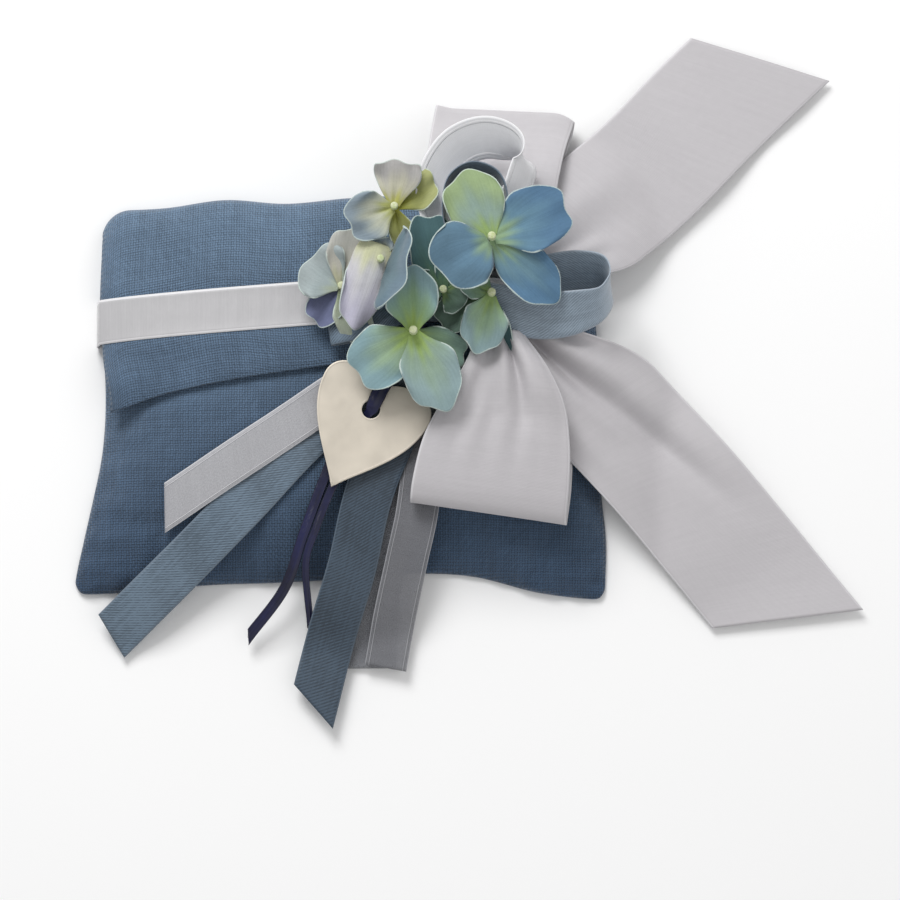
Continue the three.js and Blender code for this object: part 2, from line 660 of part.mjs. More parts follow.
const freeSpecs = [
  {
    name: 'blue_loop_right', finish: finishes.blue, start: bowKnot, height: seatHeight(bowKnot),
    reach: blueLoopRightReach,
    courseShares: [
      [0.22, -0.1, 0.14], [0.44, -0.17, 0.27], [0.74, -0.15, 0.33], [0.95, -0.07, 0.29], [1.03, 0.08, 0.24],
      [0.96, 0.2, 0.2], [0.76, 0.23, 0.19], [0.5, 0.19, 0.19], [0.245, 0.12, 0.19],
    ],
    leanShares: [[0, 0.93, 0.37], [0.05, 0.9, 0.42], [-0.1, 0.5, 0.86], [0, 0.7, 0.7], [0, 0.8, 0.6]],
    width: blueWidth, count: 20,
  },
  {
    name: 'blue_loop_upper', finish: finishes.blue, start: blueKnot, height: seatHeight(blueKnot),
    reach: blueLoopUpperReach,
    courseShares: [
      [0.19, 0.22, 0.3], [0.18, 0.55, 0.3], [0.22, 0.8, 0.3], [0.3, 0.88, 0.3], [0.38, 0.82, 0.3],
      [0.41, 0.68, 0.3], [0.4, 0.54, 0.3],
    ],
    leanShares: [[-0.1, 0.3, 0.95], [0, 0.35, 0.94], [0.1, 0.3, 0.95]],
    width: blueWidth, count: 18,
  },
  {
    name: 'hanging_ring', finish: finishes.satin, start: bowKnot, height: seatHeight(bowKnot),
    reach: ringReach,
    courseShares: [
      [-0.34, 0.44, 0.27], [-0.32, 0.72, 0.26], [-0.2, 0.92, 0.25], [-0.03, 1, 0.25], [0.13, 0.955, 0.25],
      [0.21, 0.85, 0.25], [0.18, 0.72, 0.26], [0.12, 0.52, 0.27], [0.08, 0.3, 0.27],
    ],
    leanShares: [[-0.85, 0.3, 0.4], [-0.3, 0.75, 0.65], [-0.3, 0.75, 0.65], [-0.3, 0.5, 0.8]],
    width: ringWidth, count: 22,
  },
];

function addFreeRibbons() {
  for (const spec of freeSpecs) {
    add(spec.name, freeRibbon(spec), spec.finish);
  }
}

// Knots that gather the wide ribbon and the blue ribbon
function addKnots() {
  const knot = (name, place, radii, finish) => {
    const ball = new THREE.SphereGeometry(1, 14, 10);
    ball.scale(...radii);
    ball.deleteAttribute('normal');
    ball.deleteAttribute('uv');
    add(name, mergeVertices(ball), finish).position.set(place[0], place[1], seatHeight(place) + radii[2]);
  };
  knot('bow_knot', bowKnot, bowKnotRadii, finishes.bow);
  knot('blue_knot', blueKnot, blueKnotRadii, finishes.blue);
}

// Heart outline with its hole, in its own flat frame: the hole at the origin and the lobes upwards
function heartShape() {
  const at = ([x, y], hand) => [(hand * x * charmWidth) / 2, y * charmLength];
  const shape = new THREE.Shape();
  shape.moveTo(...at(heartTipShares, 1));
  for (const curve of heartSideShares) {
    shape.bezierCurveTo(...curve.flatMap((share) => at(share, 1)));
  }
  const back = [heartTipShares, ...heartSideShares.flat()].reverse();
  for (let k = 1; k < back.length; k += 3) {
    shape.bezierCurveTo(...back.slice(k, k + 3).flatMap((share) => at(share, -1)));
  }
  const hole = new THREE.Path();
  hole.absarc(0, 0, charmHole / 2, 0, 2 * Math.PI, true);
  shape.holes.push(hole);
  return shape;
}

const charmPlace = onPouch(charmHoleShares);
const charmFloor = pouchThick + flapThick + 2 * layGap + charmLayer * layerStep;

// Heart charm, a flat plate that lies on the pile and turns about its hole
function addCharm() {
  const options = { depth: charmThick, bevelEnabled: false, curveSegments: 7 };
  const charm = add('heart_charm', new THREE.ExtrudeGeometry(heartShape(), options), finishes.metal);
  charm.position.set(charmPlace[0], charmPlace[1], charmFloor);
  charm.rotation.z = charmTurn;
}

// Narrow ribbons: one comes over the charm, goes down its hole and on as a tail, and two tails lie beside it
function addNavyRibbons() {
  const [holeX, holeY] = charmPlace;
  const place = ([x, y]) => [holeX + x * navyReach, holeY + y * navyReach];
  const laid = (shares, layer) => shares.map(place)
    .map(([x, y]) => new THREE.Vector3(x, y, layerHeight(x, y, layer, navyThick)));
  const over = charmFloor + charmThick + layGap + navyThick / 2;
  const through = charmFloor + charmThick / 2;
  const above = navyOverShares.map(place).map(([x, y]) => new THREE.Vector3(x, y, over));
  const inHole = new THREE.Vector3(holeX, holeY, through);
  const strip = (points, count) => {
    const curve = new THREE.CatmullRomCurve3(points, false, 'centripetal');
    const rows = steps(count).map((u) => {
      const point = curve.getPoint(u);
      const heading = curve.getTangent(u);
      const side = new THREE.Vector3(heading.y, -heading.x, 0).normalize();
      return [-1, 1].map((hand) => point.clone().addScaledVector(side, (hand * navyWidth) / 2));
    });
    return sheetSolid(rows, navyThick);
  };
  add('navy_charm_ribbon', strip([...above, inHole, ...laid(navyUnderShares, 3)], 44), finishes.navy);
  add('navy_tail_left', strip(laid(navyLeftShares, 2), 24), finishes.navy);
  add('navy_tail_right', strip(laid(navyRightShares, 2), 16), finishes.navy);
}

// One petal: a thin cupped blade that widens from the floret's eye to a round tip
function petalBlade(centre, [heading, lengthShare, widthShare, lift, roll = 0, cup = 0.15, curl = 0]) {
  const turn = THREE.MathUtils.degToRad(heading);
  const rise = THREE.MathUtils.degToRad(lift);
  const level = new THREE.Vector3(Math.cos(turn), Math.sin(turn), 0);
  const ahead = level.clone().multiplyScalar(Math.cos(rise)).setZ(Math.sin(rise));
  const side = new THREE.Vector3(Math.sin(turn), -Math.cos(turn), 0);
  side.applyAxisAngle(ahead, THREE.MathUtils.degToRad(roll));
  const up = side.clone().cross(ahead).normalize();
  const length = petalLength * lengthShare;
  const half = (petalWidth * widthShare) / 2;
  const base = centre.clone().addScaledVector(level, eyeRadius / 2);
  const rows = petalOutlineShares.map(([out, broad]) => steps(2).map((v) => {
    const across = (2 * v - 1) * half * broad;
    const bend = cup * across * across / half + curl * out * out * length;
    const middle = base.clone().addScaledVector(ahead, out * length);
    return middle.addScaledVector(side, across).addScaledVector(up, bend);
  }));
  return sheetSolid(rows, petalThick);
}

// Bare closed mesh with shared corners, ready to be joined or placed
function bare(geometry) {
  geometry.deleteAttribute('normal');
  geometry.deleteAttribute('uv');
  return mergeVertices(geometry);
}

// Joins closed meshes into one
function joined(geometries) {
  const solids = geometries.map((geometry) => {
    const welded = mergeVertices(bare(geometry.clone()), petalThick * weldShare);
    const vertProperties = new Float32Array(welded.getAttribute('position').array);
    const triVerts = new Uint32Array(welded.getIndex().array);
    return new wasm.Manifold(new wasm.Mesh({ numProp: 3, vertProperties, triVerts }));
  });
  const whole = solids.reduce((sum, solid) => sum.add(solid)).getMesh();
  const geometry = new THREE.BufferGeometry();
  geometry.setAttribute('position', new THREE.Float32BufferAttribute(whole.vertProperties, 3));
  geometry.setIndex(Array.from(whole.triVerts));
  return outward(geometry);
}

// Fabric florets on their wire stems, each with a pip at its eye, and the binding that holds the stems
function addFlorets() {
  const [bindX, bindY] = blueKnot;
  const bindFloor = seatHeight(blueKnot) + 2 * blueKnotRadii[2] + layGap;
  const bindTop = bindFloor + bindingHeight;
  const binding = bare(new THREE.CylinderGeometry(bindingRadius, bindingRadius, bindingHeight, 16));
  binding.rotateX(Math.PI / 2);
  add('stem_binding', binding, finishes.stem).position.set(bindX, bindY, bindFloor + bindingHeight / 2);

  florets.forEach(({ finish, placeShares, petals, stemAngle, stemReachShare = 1 }, index) => {
    const [x, y] = onPouch(placeShares);
    const centre = new THREE.Vector3(x, y, pouchThick + placeShares[2] * flowerHeight);
    const eye = bare(new THREE.CylinderGeometry(eyeRadius, eyeRadius, eyeThick, 10));
    eye.rotateX(Math.PI / 2);
    eye.translate(...centre);
    const name = `floret_${index + 1}`;
    const blades = petals.map((petal) => petalBlade(centre, petal));
    add(`${name}_petals`, joined([eye, ...blades]), finishes[finish]);

    const profile = pipShares.map(([out, up]) => new THREE.Vector2(out * pipRadius, up * pipHeight));
    const pip = bare(new THREE.LatheGeometry(profile, 8));
    pip.rotateX(Math.PI / 2);
    add(`${name}_pip`, outward(pip), finishes.pip).position.set(x, y, centre.z + eyeThick / 2 + layGap);

    const turn = THREE.MathUtils.degToRad(stemAngle);
    const ring = bindingRadius * stemRingShare * stemReachShare;
    const foot = new THREE.Vector3(bindX, bindY, bindTop + stemSeat);
    foot.add(new THREE.Vector3(ring * Math.cos(turn), ring * Math.sin(turn), 0));
    const tip = centre.clone().setZ(centre.z - eyeThick / 2 - stemSeat);
    const knee = foot.clone().lerp(tip, stemKneeShare).setZ(foot.z + stemThick);
    const neckHeight = Math.min(tip.z - stemThick / 2, foot.z + (3 * stemThick) / 2);
    const neck = foot.clone().lerp(tip, stemNeckShare).setZ(neckHeight);
    const path = new THREE.CatmullRomCurve3([foot, knee, neck, tip], false, 'centripetal');
    const section = new THREE.Shape();
    section.absarc(0, 0, stemThick / 2, 0, 2 * Math.PI);
    const wire = new THREE.ExtrudeGeometry(section, { steps: 8, curveSegments: 6, extrudePath: path });
    add(`${name}_stem`, wire, finishes.stem);
  });
}

addPanels();
addScentBag();
addFlap();
addBand();
addLaidRibbons();
addFoldedLoops();
addFreeRibbons();
addKnots();
addCharm();
addNavyRibbons();
addFlorets();

export default group;
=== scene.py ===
"""Scented sachet: a linen pouch tied with ribbons, with fabric florets and a heart charm, round its frame."""
import logging
import math
from contextlib import contextmanager
from dataclasses import dataclass
from enum import Enum
from functools import reduce
from typing import Iterator, Optional, Sequence, Union

import bpy
import numpy as np
from mathutils import Matrix, Vector, noise


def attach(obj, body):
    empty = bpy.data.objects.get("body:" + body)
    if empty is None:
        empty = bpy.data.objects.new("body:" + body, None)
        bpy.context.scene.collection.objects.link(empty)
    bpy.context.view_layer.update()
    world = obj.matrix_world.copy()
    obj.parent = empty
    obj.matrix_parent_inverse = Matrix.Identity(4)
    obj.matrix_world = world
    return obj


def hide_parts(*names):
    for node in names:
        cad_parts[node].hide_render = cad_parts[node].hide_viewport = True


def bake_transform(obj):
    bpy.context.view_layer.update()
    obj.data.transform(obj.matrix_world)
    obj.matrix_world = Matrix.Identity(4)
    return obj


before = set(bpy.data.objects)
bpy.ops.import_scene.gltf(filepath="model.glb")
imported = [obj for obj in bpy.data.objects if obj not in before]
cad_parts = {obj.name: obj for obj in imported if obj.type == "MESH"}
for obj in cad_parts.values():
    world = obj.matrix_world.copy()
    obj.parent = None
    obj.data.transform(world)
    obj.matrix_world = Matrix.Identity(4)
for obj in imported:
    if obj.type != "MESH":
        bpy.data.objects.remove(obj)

LOG = logging.getLogger("sachet")
TINY = 1e-12
MILLIMETRES = 1000
Shares = tuple[float, ...]
Pairs = tuple[tuple[float, ...], ...]
Real = Union[float, np.ndarray]
Socket = bpy.types.NodeSocket


# Numbers and curves

def lerp(a: Real, b: Real, t: Real) -> Real:
    """Returns the value at share t between a and b."""
    return a + (b - a) * t


def smooth(value: Real, low: Real, high: Real) -> Real:
    """Returns a soft step from 0 at low to 1 at high."""
    t = np.clip((np.asarray(value, float) - low) / (high - low), 0, 1)
    return t * t * (3 - 2 * t)


def steps(count: int, crowd: float = 0.0) -> np.ndarray:
    """Returns count + 1 shares from 0 to 1, which crowd towards both ends."""
    even = np.linspace(0, 1, count + 1)
    return lerp(even, (1 - np.cos(math.pi * even)) / 2, crowd)


def along(shares: Sequence[float], t: Real) -> np.ndarray:
    """Reads a table of evenly spaced shares on a smooth curve through them.

    Args:
        shares: the table.
        t: places along it, from 0 to 1.

    Returns:
        The value at each place.
    """
    table = np.asarray(shares, float)
    last = len(table) - 1
    place = np.clip(t, 0, 1) * last
    index = np.minimum(np.floor(place).astype(int), last - 1)
    f = place - index
    a, b, c, d = (table[np.clip(index + k, 0, last)] for k in (-1, 0, 1, 2))
    bend = (2 * a - 5 * b + 4 * c - d) * f ** 2 + (3 * b - a - 3 * c + d) * f ** 3
    return b + ((c - a) * f + bend) / 2


def smooth_course(points: np.ndarray, spans: int = 24) -> np.ndarray:
    """Lays a centripetal curve through points.

    Args:
        points: the points, one row each.
        spans: how many steps each stretch between two points gets.

    Returns:
        The points along the curve.
    """
    pts = np.asarray(points, float)
    pts = np.vstack([2 * pts[0] - pts[1], pts, 2 * pts[-1] - pts[-2]])
    line = []
    for p0, p1, p2, p3 in zip(pts, pts[1:], pts[2:], pts[3:]):
        d0, d1, d2 = (math.sqrt(max(np.linalg.norm(b - a), TINY)) for a, b in ((p0, p1), (p1, p2), (p2, p3)))
        t1 = ((p1 - p0) / d0 - (p2 - p0) / (d0 + d1) + (p2 - p1) / d1) * d1
        t2 = ((p2 - p1) / d1 - (p3 - p1) / (d1 + d2) + (p3 - p2) / d2) * d1
        for t in np.linspace(0, 1, spans, endpoint=False):
            cubic = (2 * p1 - 2 * p2 + t1 + t2) * t ** 3 + (3 * p2 - 3 * p1 - 2 * t1 - t2) * t ** 2
            line.append(cubic + t1 * t + p1)
    line.append(pts[-2])
    return np.array(line)


def unit(vectors: np.ndarray) -> np.ndarray:
    """Returns vectors at a length of 1."""
    return vectors / np.maximum(np.linalg.norm(vectors, axis=-1, keepdims=True), TINY)


def run_along(line: np.ndarray) -> np.ndarray:
    """Returns how far along a line of points each point lies."""
    return np.concatenate([[0], np.cumsum(np.linalg.norm(np.diff(line, axis=0), axis=1))])


def line_length(line: np.ndarray) -> float:
    """Returns the length of a line of points."""
    return float(run_along(line)[-1])


def at_shares(line: np.ndarray, shares: np.ndarray) -> tuple[np.ndarray, np.ndarray]:
    """Finds points and headings by share of a line's length.

    Args:
        line: the points of the line.
        shares: places along it, from 0 to 1, in an array of any shape.

    Returns:
        The points and the unit headings, each with one more axis than shares.
    """
    run = run_along(line)
    place = np.clip(shares, 0, 1) * run[-1]
    ahead = np.gradient(line, run, axis=0)
    points, heads = (np.stack([np.interp(place, run, part) for part in table.T], -1)
                     for table in (line, ahead))
    return points, unit(heads)


def cloth_noise(x: np.ndarray, y: np.ndarray, scale: float, seed: float) -> np.ndarray:
    """Returns a soft unevenness from about -1 to 1, with scale swells in a metre."""
    flat = [noise.noise(Vector((a * scale, b * scale, seed))) for a, b in zip(np.ravel(x), np.ravel(y))]
    return np.array(flat).reshape(np.shape(x))


# The sachet's cloth and how things lie on it

@dataclass(frozen=True)
class ClothForm:
    """The pouch's shape, and the height of whatever lies on it, in metres."""

    width: float = 0.160
    height: float = 0.124
    thick: float = 0.013
    cloth: float = 0.0006
    gap: float = 0.0004
    flap_thick: float = 0.001
    side_power: float = 3.2
    left_shares: Shares = (-0.023, -0.007, 0.011, 0.027, 0.033, 0.031, 0.023, 0.024, 0.027)
    right_shares: Shares = (-0.004, -0.006, 0.003, 0.009, 0.011, 0.011, 0.016, 0.014, 0.022)
    bottom_shares: Shares = (0.002, 0.01, 0.026, 0.032, 0.041, 0.055, 0.048, 0.007, -0.011)
    top_shares: Shares = (0.036, 0.03, 0.009, 0.0185, 0.0045, -0.003, -0.006, -0.003, 0.004)
    flap_edge_shares: Shares = (-0.052, -0.003, 0.029, 0.053, 0.071, 0.073, 0.061, 0.027, -0.032)
    flap_low_share: float = 0.016
    flap_ease_share: float = 0.03
    corner_lift: float = 0.004
    corner_reach_share: float = 0.16
    band_width: float = 0.014
    band_thick: float = 0.00035
    band_share: float = 0.23
    band_slope: float = 0.0765
    band_groove: float = 0.0012
    press_share: float = 0.65
    layer_step: float = 0.00075
    drape_radius: float = 0.040
    drape_cell: float = 0.002
    drape_margin: float = 0.070
    drape_rounds: int = 2
    corner_radii: Shares = (0.0035, 0.0035, 0.003, 0.009)
    edge_rounds: int = 4
    ripple: float = 0.0003
    ripple_noise: Shares = (38, 3.1)
    sway: float = 0.0009
    sway_noise: Shares = (24, 8.7)
    sway_shares: Shares = (0.1, 0.7)

    @property
    def seam(self) -> float:
        """The pouch's thickness at its sewn edge."""
        return 2 * self.cloth + self.gap

    def left_x(self, t: Real) -> Real:
        """Returns the left edge's place at share t up."""
        return self.width * (along(self.left_shares, t) - 0.5)

    def right_x(self, t: Real) -> Real:
        """Returns the right edge's place at share t up."""
        return self.width * (0.5 - along(self.right_shares, t))

    def corner_drop(self, s: Real, left: float, right: float) -> Real:
        """Returns how far a rounded edge falls back near its two ends, given their radii."""
        drop = np.zeros(np.shape(s))
        for away, radius in ((s, left), (1 - s, right)):
            near = np.clip(1 - np.clip(away, 0, 1) * self.width / radius, 0, 1)
            drop = drop + radius * (1 - np.sqrt(1 - near ** 2))
        return drop

    def bottom_y(self, s: Real) -> Real:
        """Returns the bottom edge's place at share s across."""
        drop = self.corner_drop(s, self.corner_radii[0], self.corner_radii[1])
        return self.height * (along(self.bottom_shares, s) - 0.5) + drop

    def top_y(self, s: Real) -> Real:
        """Returns the top edge's place at share s across."""
        drop = self.corner_drop(s, self.corner_radii[3], self.corner_radii[2])
        return self.height * (0.5 - along(self.top_shares, s)) - drop

    def point(self, s: Real, t: Real) -> tuple[Real, Real]:
        """Returns x and y at shares s across and t up."""
        return lerp(self.left_x(t), self.right_x(t), s), lerp(self.bottom_y(s), self.top_y(s), t)

    def shares(self, x: Real, y: Real) -> tuple[Real, Real]:
        """Returns the shares s and t of a place."""
        s = t = np.full(np.shape(x), 0.5)
        for _ in range(self.edge_rounds):
            t = (y - self.bottom_y(s)) / (self.top_y(s) - self.bottom_y(s))
            s = (x - self.left_x(t)) / (self.right_x(t) - self.left_x(t))
        return s, t

    def swell(self, share: Real) -> Real:
        """Returns a round-shouldered rise over a span."""
        return np.sqrt(np.clip(1 - np.abs(2 * share - 1) ** self.side_power, 0, None))

    def band_y(self, x: Real) -> Real:
        """Returns the middle of the band at a place across."""
        return self.height * self.band_share + self.band_slope * x

    def band_lift(self, x: Real, y: Real) -> Real:
        """Returns how far the band's run underneath lifts the cloth."""
        away = np.abs(y - self.band_y(x)) - self.band_width / 2
        return (self.band_thick + self.gap) * (1 - smooth(away, self.gap, self.band_width / 2))

    def front(self, x: Real, y: Real, ease: float = 0.0) -> Real:
        """Finds the height of the front panel.

        Args:
            x: places across.
            y: places up.
            ease: how much less a looser layer rounds its edges.

        Returns:
            The height of its outer face.
        """
        s, t = self.shares(x, y)
        fullness = self.swell(lerp(s, 0.5, ease)) * self.swell(lerp(t, 0.5, ease))
        pressed = np.exp(-(((y - self.band_y(x)) / (self.band_width * self.press_share)) ** 4))
        crown = (self.thick - self.seam) * fullness - self.band_groove * fullness * pressed
        return self.seam + crown + self.band_lift(x, y)

    def flap_edge_y(self, s: Real) -> Real:
        """Returns the flap's lower edge at share s across."""
        return self.height * along(self.flap_edge_shares, s)

    def flap(self, x: Real, y: Real) -> Real:
        """Returns the height of the flap's lower face."""
        s, _ = self.shares(x, y)
        below = smooth(self.band_y(x) - self.band_width / 2 - y, 0, self.band_width)
        outer = 1 - smooth(s, 0, self.corner_reach_share)
        return self.front(x, y, self.flap_ease_share) + self.gap + self.corner_lift * below * outer ** 2

    def top(self, x: Real, y: Real) -> Real:
        """Returns the height of the topmost cloth, and zero past the pouch."""
        s, t = self.shares(x, y)
        inside = (s >= 0) & (s <= 1) & (t >= 0) & (t <= 1)
        cloth = np.where(y > self.flap_edge_y(s), self.flap(x, y) + self.flap_thick, self.front(x, y))
        return np.where(inside, cloth, 0)

    def band_top(self, x: Real, y: Real) -> Real:
        """Returns the height of the band's upper face."""
        return self.flap(x, y) + self.flap_thick + self.gap + self.band_thick


class Drape:
    """The height at which a springy ribbon lies over the cloth."""

    def __init__(self, form: ClothForm) -> None:
        """Works the heights out once, on a grid over the sachet."""
        self.form = form
        self.low = np.array([-form.width / 2 - form.drape_margin, -form.height / 2 - form.drape_margin])
        counts = np.ceil(-2 * self.low / form.drape_cell).astype(int)
        xs, ys = (self.low[k] + form.drape_cell * np.arange(counts[k] + 1) for k in (0, 1))
        x, y = np.meshgrid(xs, ys, indexing="ij")
        raw = form.top(x, y)
        best = raw.copy()
        spread = math.ceil(math.sqrt(2 * form.drape_radius * form.thick) / form.drape_cell)
        padded = np.pad(raw, spread, constant_values=-1)
        rows, columns = raw.shape
        for a in range(-spread, spread + 1):
            for b in range(-spread, spread + 1):
                drop = (a * a + b * b) * form.drape_cell ** 2 / (2 * form.drape_radius)
                part = padded[spread + a:spread + a + rows, spread + b:spread + b + columns]
                np.maximum(best, part - drop, out=best)
        for _ in range(form.drape_rounds):
            soft = np.pad(best, 1, mode="edge")
            soft = (soft[:-2] + 2 * soft[1:-1] + soft[2:]) / 4
            best = (soft[:, :-2] + 2 * soft[:, 1:-1] + soft[:, 2:]) / 4
        outside = 1 - smooth(best, *(form.thick * share for share in form.sway_shares))
        ripple = form.ripple * (1 + cloth_noise(x, y, *form.ripple_noise)) / 2
        sway = form.sway * outside * (1 + cloth_noise(x, y, *form.sway_noise)) / 2
        self.grid = best + ripple + sway

    def __call__(self, x: Real, y: Real) -> Real:
        """Returns the heights at places, on a smooth surface through the grid."""
        u = np.clip((np.asarray(x) - self.low[0]) / self.form.drape_cell, 1, self.grid.shape[0] - 3)
        v = np.clip((np.asarray(y) - self.low[1]) / self.form.drape_cell, 1, self.grid.shape[1] - 3)
        i, j = np.floor(u).astype(int), np.floor(v).astype(int)

        def weights(f: np.ndarray) -> tuple[np.ndarray, ...]:
            """Returns the four weights of a smooth step between grid lines."""
            return ((2 - f) * f * f - f) / 2, (2 - 5 * f * f + 3 * f ** 3) / 2, \
                ((4 - 3 * f) * f * f + f) / 2, (f - 1) * f * f / 2

        wu, wv = weights(u - i), weights(v - j)
        return sum(wu[a] * wv[b] * self.grid[i + a - 1, j + b - 1] for a in range(4) for b in range(4))

    def layer(self, x: Real, y: Real, layer: float, thick: float) -> Real:
        """Returns the middle height of a ribbon in the pile, by its layer and thickness."""
        return self(x, y) + self.form.gap + layer * self.form.layer_step + thick / 2

    def seat(self, place: Sequence[float]) -> float:
        """Returns the height just clear of the cloth and the band at a place."""
        x, y = place
        return float(max(self(x, y), self.form.band_top(x, y))) + self.form.gap


FORM = ClothForm()
DRAPE = Drape(FORM)


def on_pouch(shares: Sequence[float]) -> np.ndarray:
    """Returns the place of shares of the pouch's width and height."""
    return np.array([shares[0] * FORM.width, shares[1] * FORM.height])


# Finishes

class Axis(Enum):
    """Which way a thread runs on a cloth's own measure."""

    ALONG = 0
    ACROSS = 1


def screen(red: float, green: float, blue: float) -> tuple[float, float, float, float]:
    """Turns a colour as seen on a screen, each part from 0 to 255, into a light value."""
    parts = [p / 255 for p in (red, green, blue)]
    return (*[p / 12.92 if p <= 0.04045 else ((p + 0.055) / 1.055) ** 2.4 for p in parts], 1.0)


class Recipe:
    """One material, put together from left to right."""

    stray_share = 0.25

    def __init__(self, name: str, **sockets: float) -> None:
        """Starts a material.

        Args:
            name: what it is called.
            sockets: values of the shader that are the same all over, by their names with underscores.
        """
        self.material = bpy.data.materials.new(name)
        self.material.use_nodes = True
        self.tree = self.material.node_tree
        self.shader = self.tree.nodes["Principled BSDF"]
        for key, value in sockets.items():
            self.shader.inputs[key.replace("_", " ")].default_value = value

    def node(self, kind: str, inputs: dict, **settings: object) -> bpy.types.Node:
        """Adds a node.

        Args:
            kind: its type, without the prefix.
            inputs: values or outputs for its inputs, by name or place.
            settings: its own options.

        Returns:
            The node.
        """
        made = self.tree.nodes.new("ShaderNode" + kind)
        for key, value in settings.items():
            setattr(made, key, value)
        for key, value in inputs.items():
            if isinstance(value, bpy.types.NodeSocket):
                self.tree.links.new(value, made.inputs[key])
            else:
                made.inputs[key].default_value = value
        return made

    def math(self, operation: str, *values: object, clamp: bool = False) -> Socket:
        """Returns the result of a sum on values or outputs."""
        made = self.node("Math", dict(enumerate(values)), operation=operation, use_clamp=clamp)
        return made.outputs[0]

    def place(self) -> Socket:
        """Returns the place on the object, in metres."""
        return self.node("TexCoord", {}).outputs["Object"]

    def measure(self, uv: str = "cloth") -> Socket:
        """Returns the place on the piece's own measure."""
        return self.node("UVMap", {}, uv_map=uv).outputs["UV"]

    def stretched(self, vector: Socket, scale: Sequence[float], turn: float = 0.0) -> Socket:
        """Returns a place, turned in its plane by an angle and then scaled."""
        turned = self.node("Mapping", {"Vector": vector, "Rotation": (0, 0, turn)}, vector_type="POINT")
        return self.node("Mapping", {"Vector": turned.outputs[0], "Scale": tuple(scale)}).outputs[0]

    def noise(self, vector: Socket, scale: float, detail: float = 2.0, rough: float = 0.5) -> Socket:
        """Returns an even noise from 0 to 1."""
        inputs = {"Vector": vector, "Scale": scale, "Detail": detail, "Roughness": rough}
        return self.node("TexNoise", inputs).outputs["Fac"]

    def span(self, value: Socket, low: float, high: float, to_low: float = 0.0,
             to_high: float = 1.0) -> Socket:
        """Returns a value moved from one span to another, and kept within it."""
        inputs = {"Value": value, "From Min": low, "From Max": high, "To Min": to_low, "To Max": to_high}
        return self.node("MapRange", inputs).outputs["Result"]

    def blended(self, share: object, first: object, second: object, how: str = "MIX") -> Socket:
        """Returns a colour between two colours."""
        inputs = {0: share, 6: first, 7: second}
        return self.node("Mix", inputs, data_type="RGBA", blend_type=how).outputs[2]

    def total(self, *terms: tuple[Socket, float]) -> Socket:
        """Returns a weighted sum, given pairs of an output and its weight."""
        parts = [self.math("MULTIPLY", value, weight) for value, weight in terms]
        return reduce(lambda first, second: self.math("ADD", first, second), parts)

    def toned(self, base: object, shade: Socket) -> Socket:
        """Returns a colour made lighter or darker by an output round 1."""
        grey = self.node("CombineColor", {0: shade, 1: shade, 2: shade}).outputs[0]
        return self.blended(1.0, base, grey, "MULTIPLY")

    def part(self, vector: Socket, axis: Axis) -> Socket:
        """Returns one part of a place."""
        return self.node("SeparateXYZ", {0: vector}).outputs[axis.value]

    def join(self, value: Socket, socket: str = "Base Color") -> None:
        """Leads an output to a socket of the shader, which is its colour unless another is named."""
        self.tree.links.new(value, self.shader.inputs[socket])

    def bump(self, height: Socket, depth: float, strength: float) -> None:
        """Raises the surface by a height.

        Args:
            height: an output from 0 to 1.
            depth: how far 1 stands up, in metres.
            strength: how much of it shows.
        """
        last = self.shader.inputs["Normal"].links
        inputs = {"Height": height, "Distance": depth, "Strength": strength}
        if last:
            inputs["Normal"] = last[0].from_socket
        self.join(self.node("Bump", inputs).outputs[0], "Normal")

    def threads(self, measure: Socket, pitch: float, wander: float) -> Socket:
        """Makes a plain weave.

        Args:
            measure: the place on the cloth, in metres.
            pitch: from one thread to the next.
            wander: how far threads stray, as a share of the pitch.

        Returns:
            The height of the weave from 0 to 1.
        """
        rounds = []
        for axis in Axis:
            stray = self.noise(measure, self.stray_share / pitch, 1.0)
            turns = self.total((self.part(measure, axis), math.pi / pitch), (stray, wander * math.pi))
            rounds.append(self.math("SINE", turns))
        tops = [self.math("ABSOLUTE", one) for one in rounds]
        over = self.math("GREATER_THAN", self.math("MULTIPLY", *rounds), 0.0)
        gap = self.math("MULTIPLY", over, self.math("SUBTRACT", tops[0], tops[1]))
        return self.math("ADD", tops[1], gap)


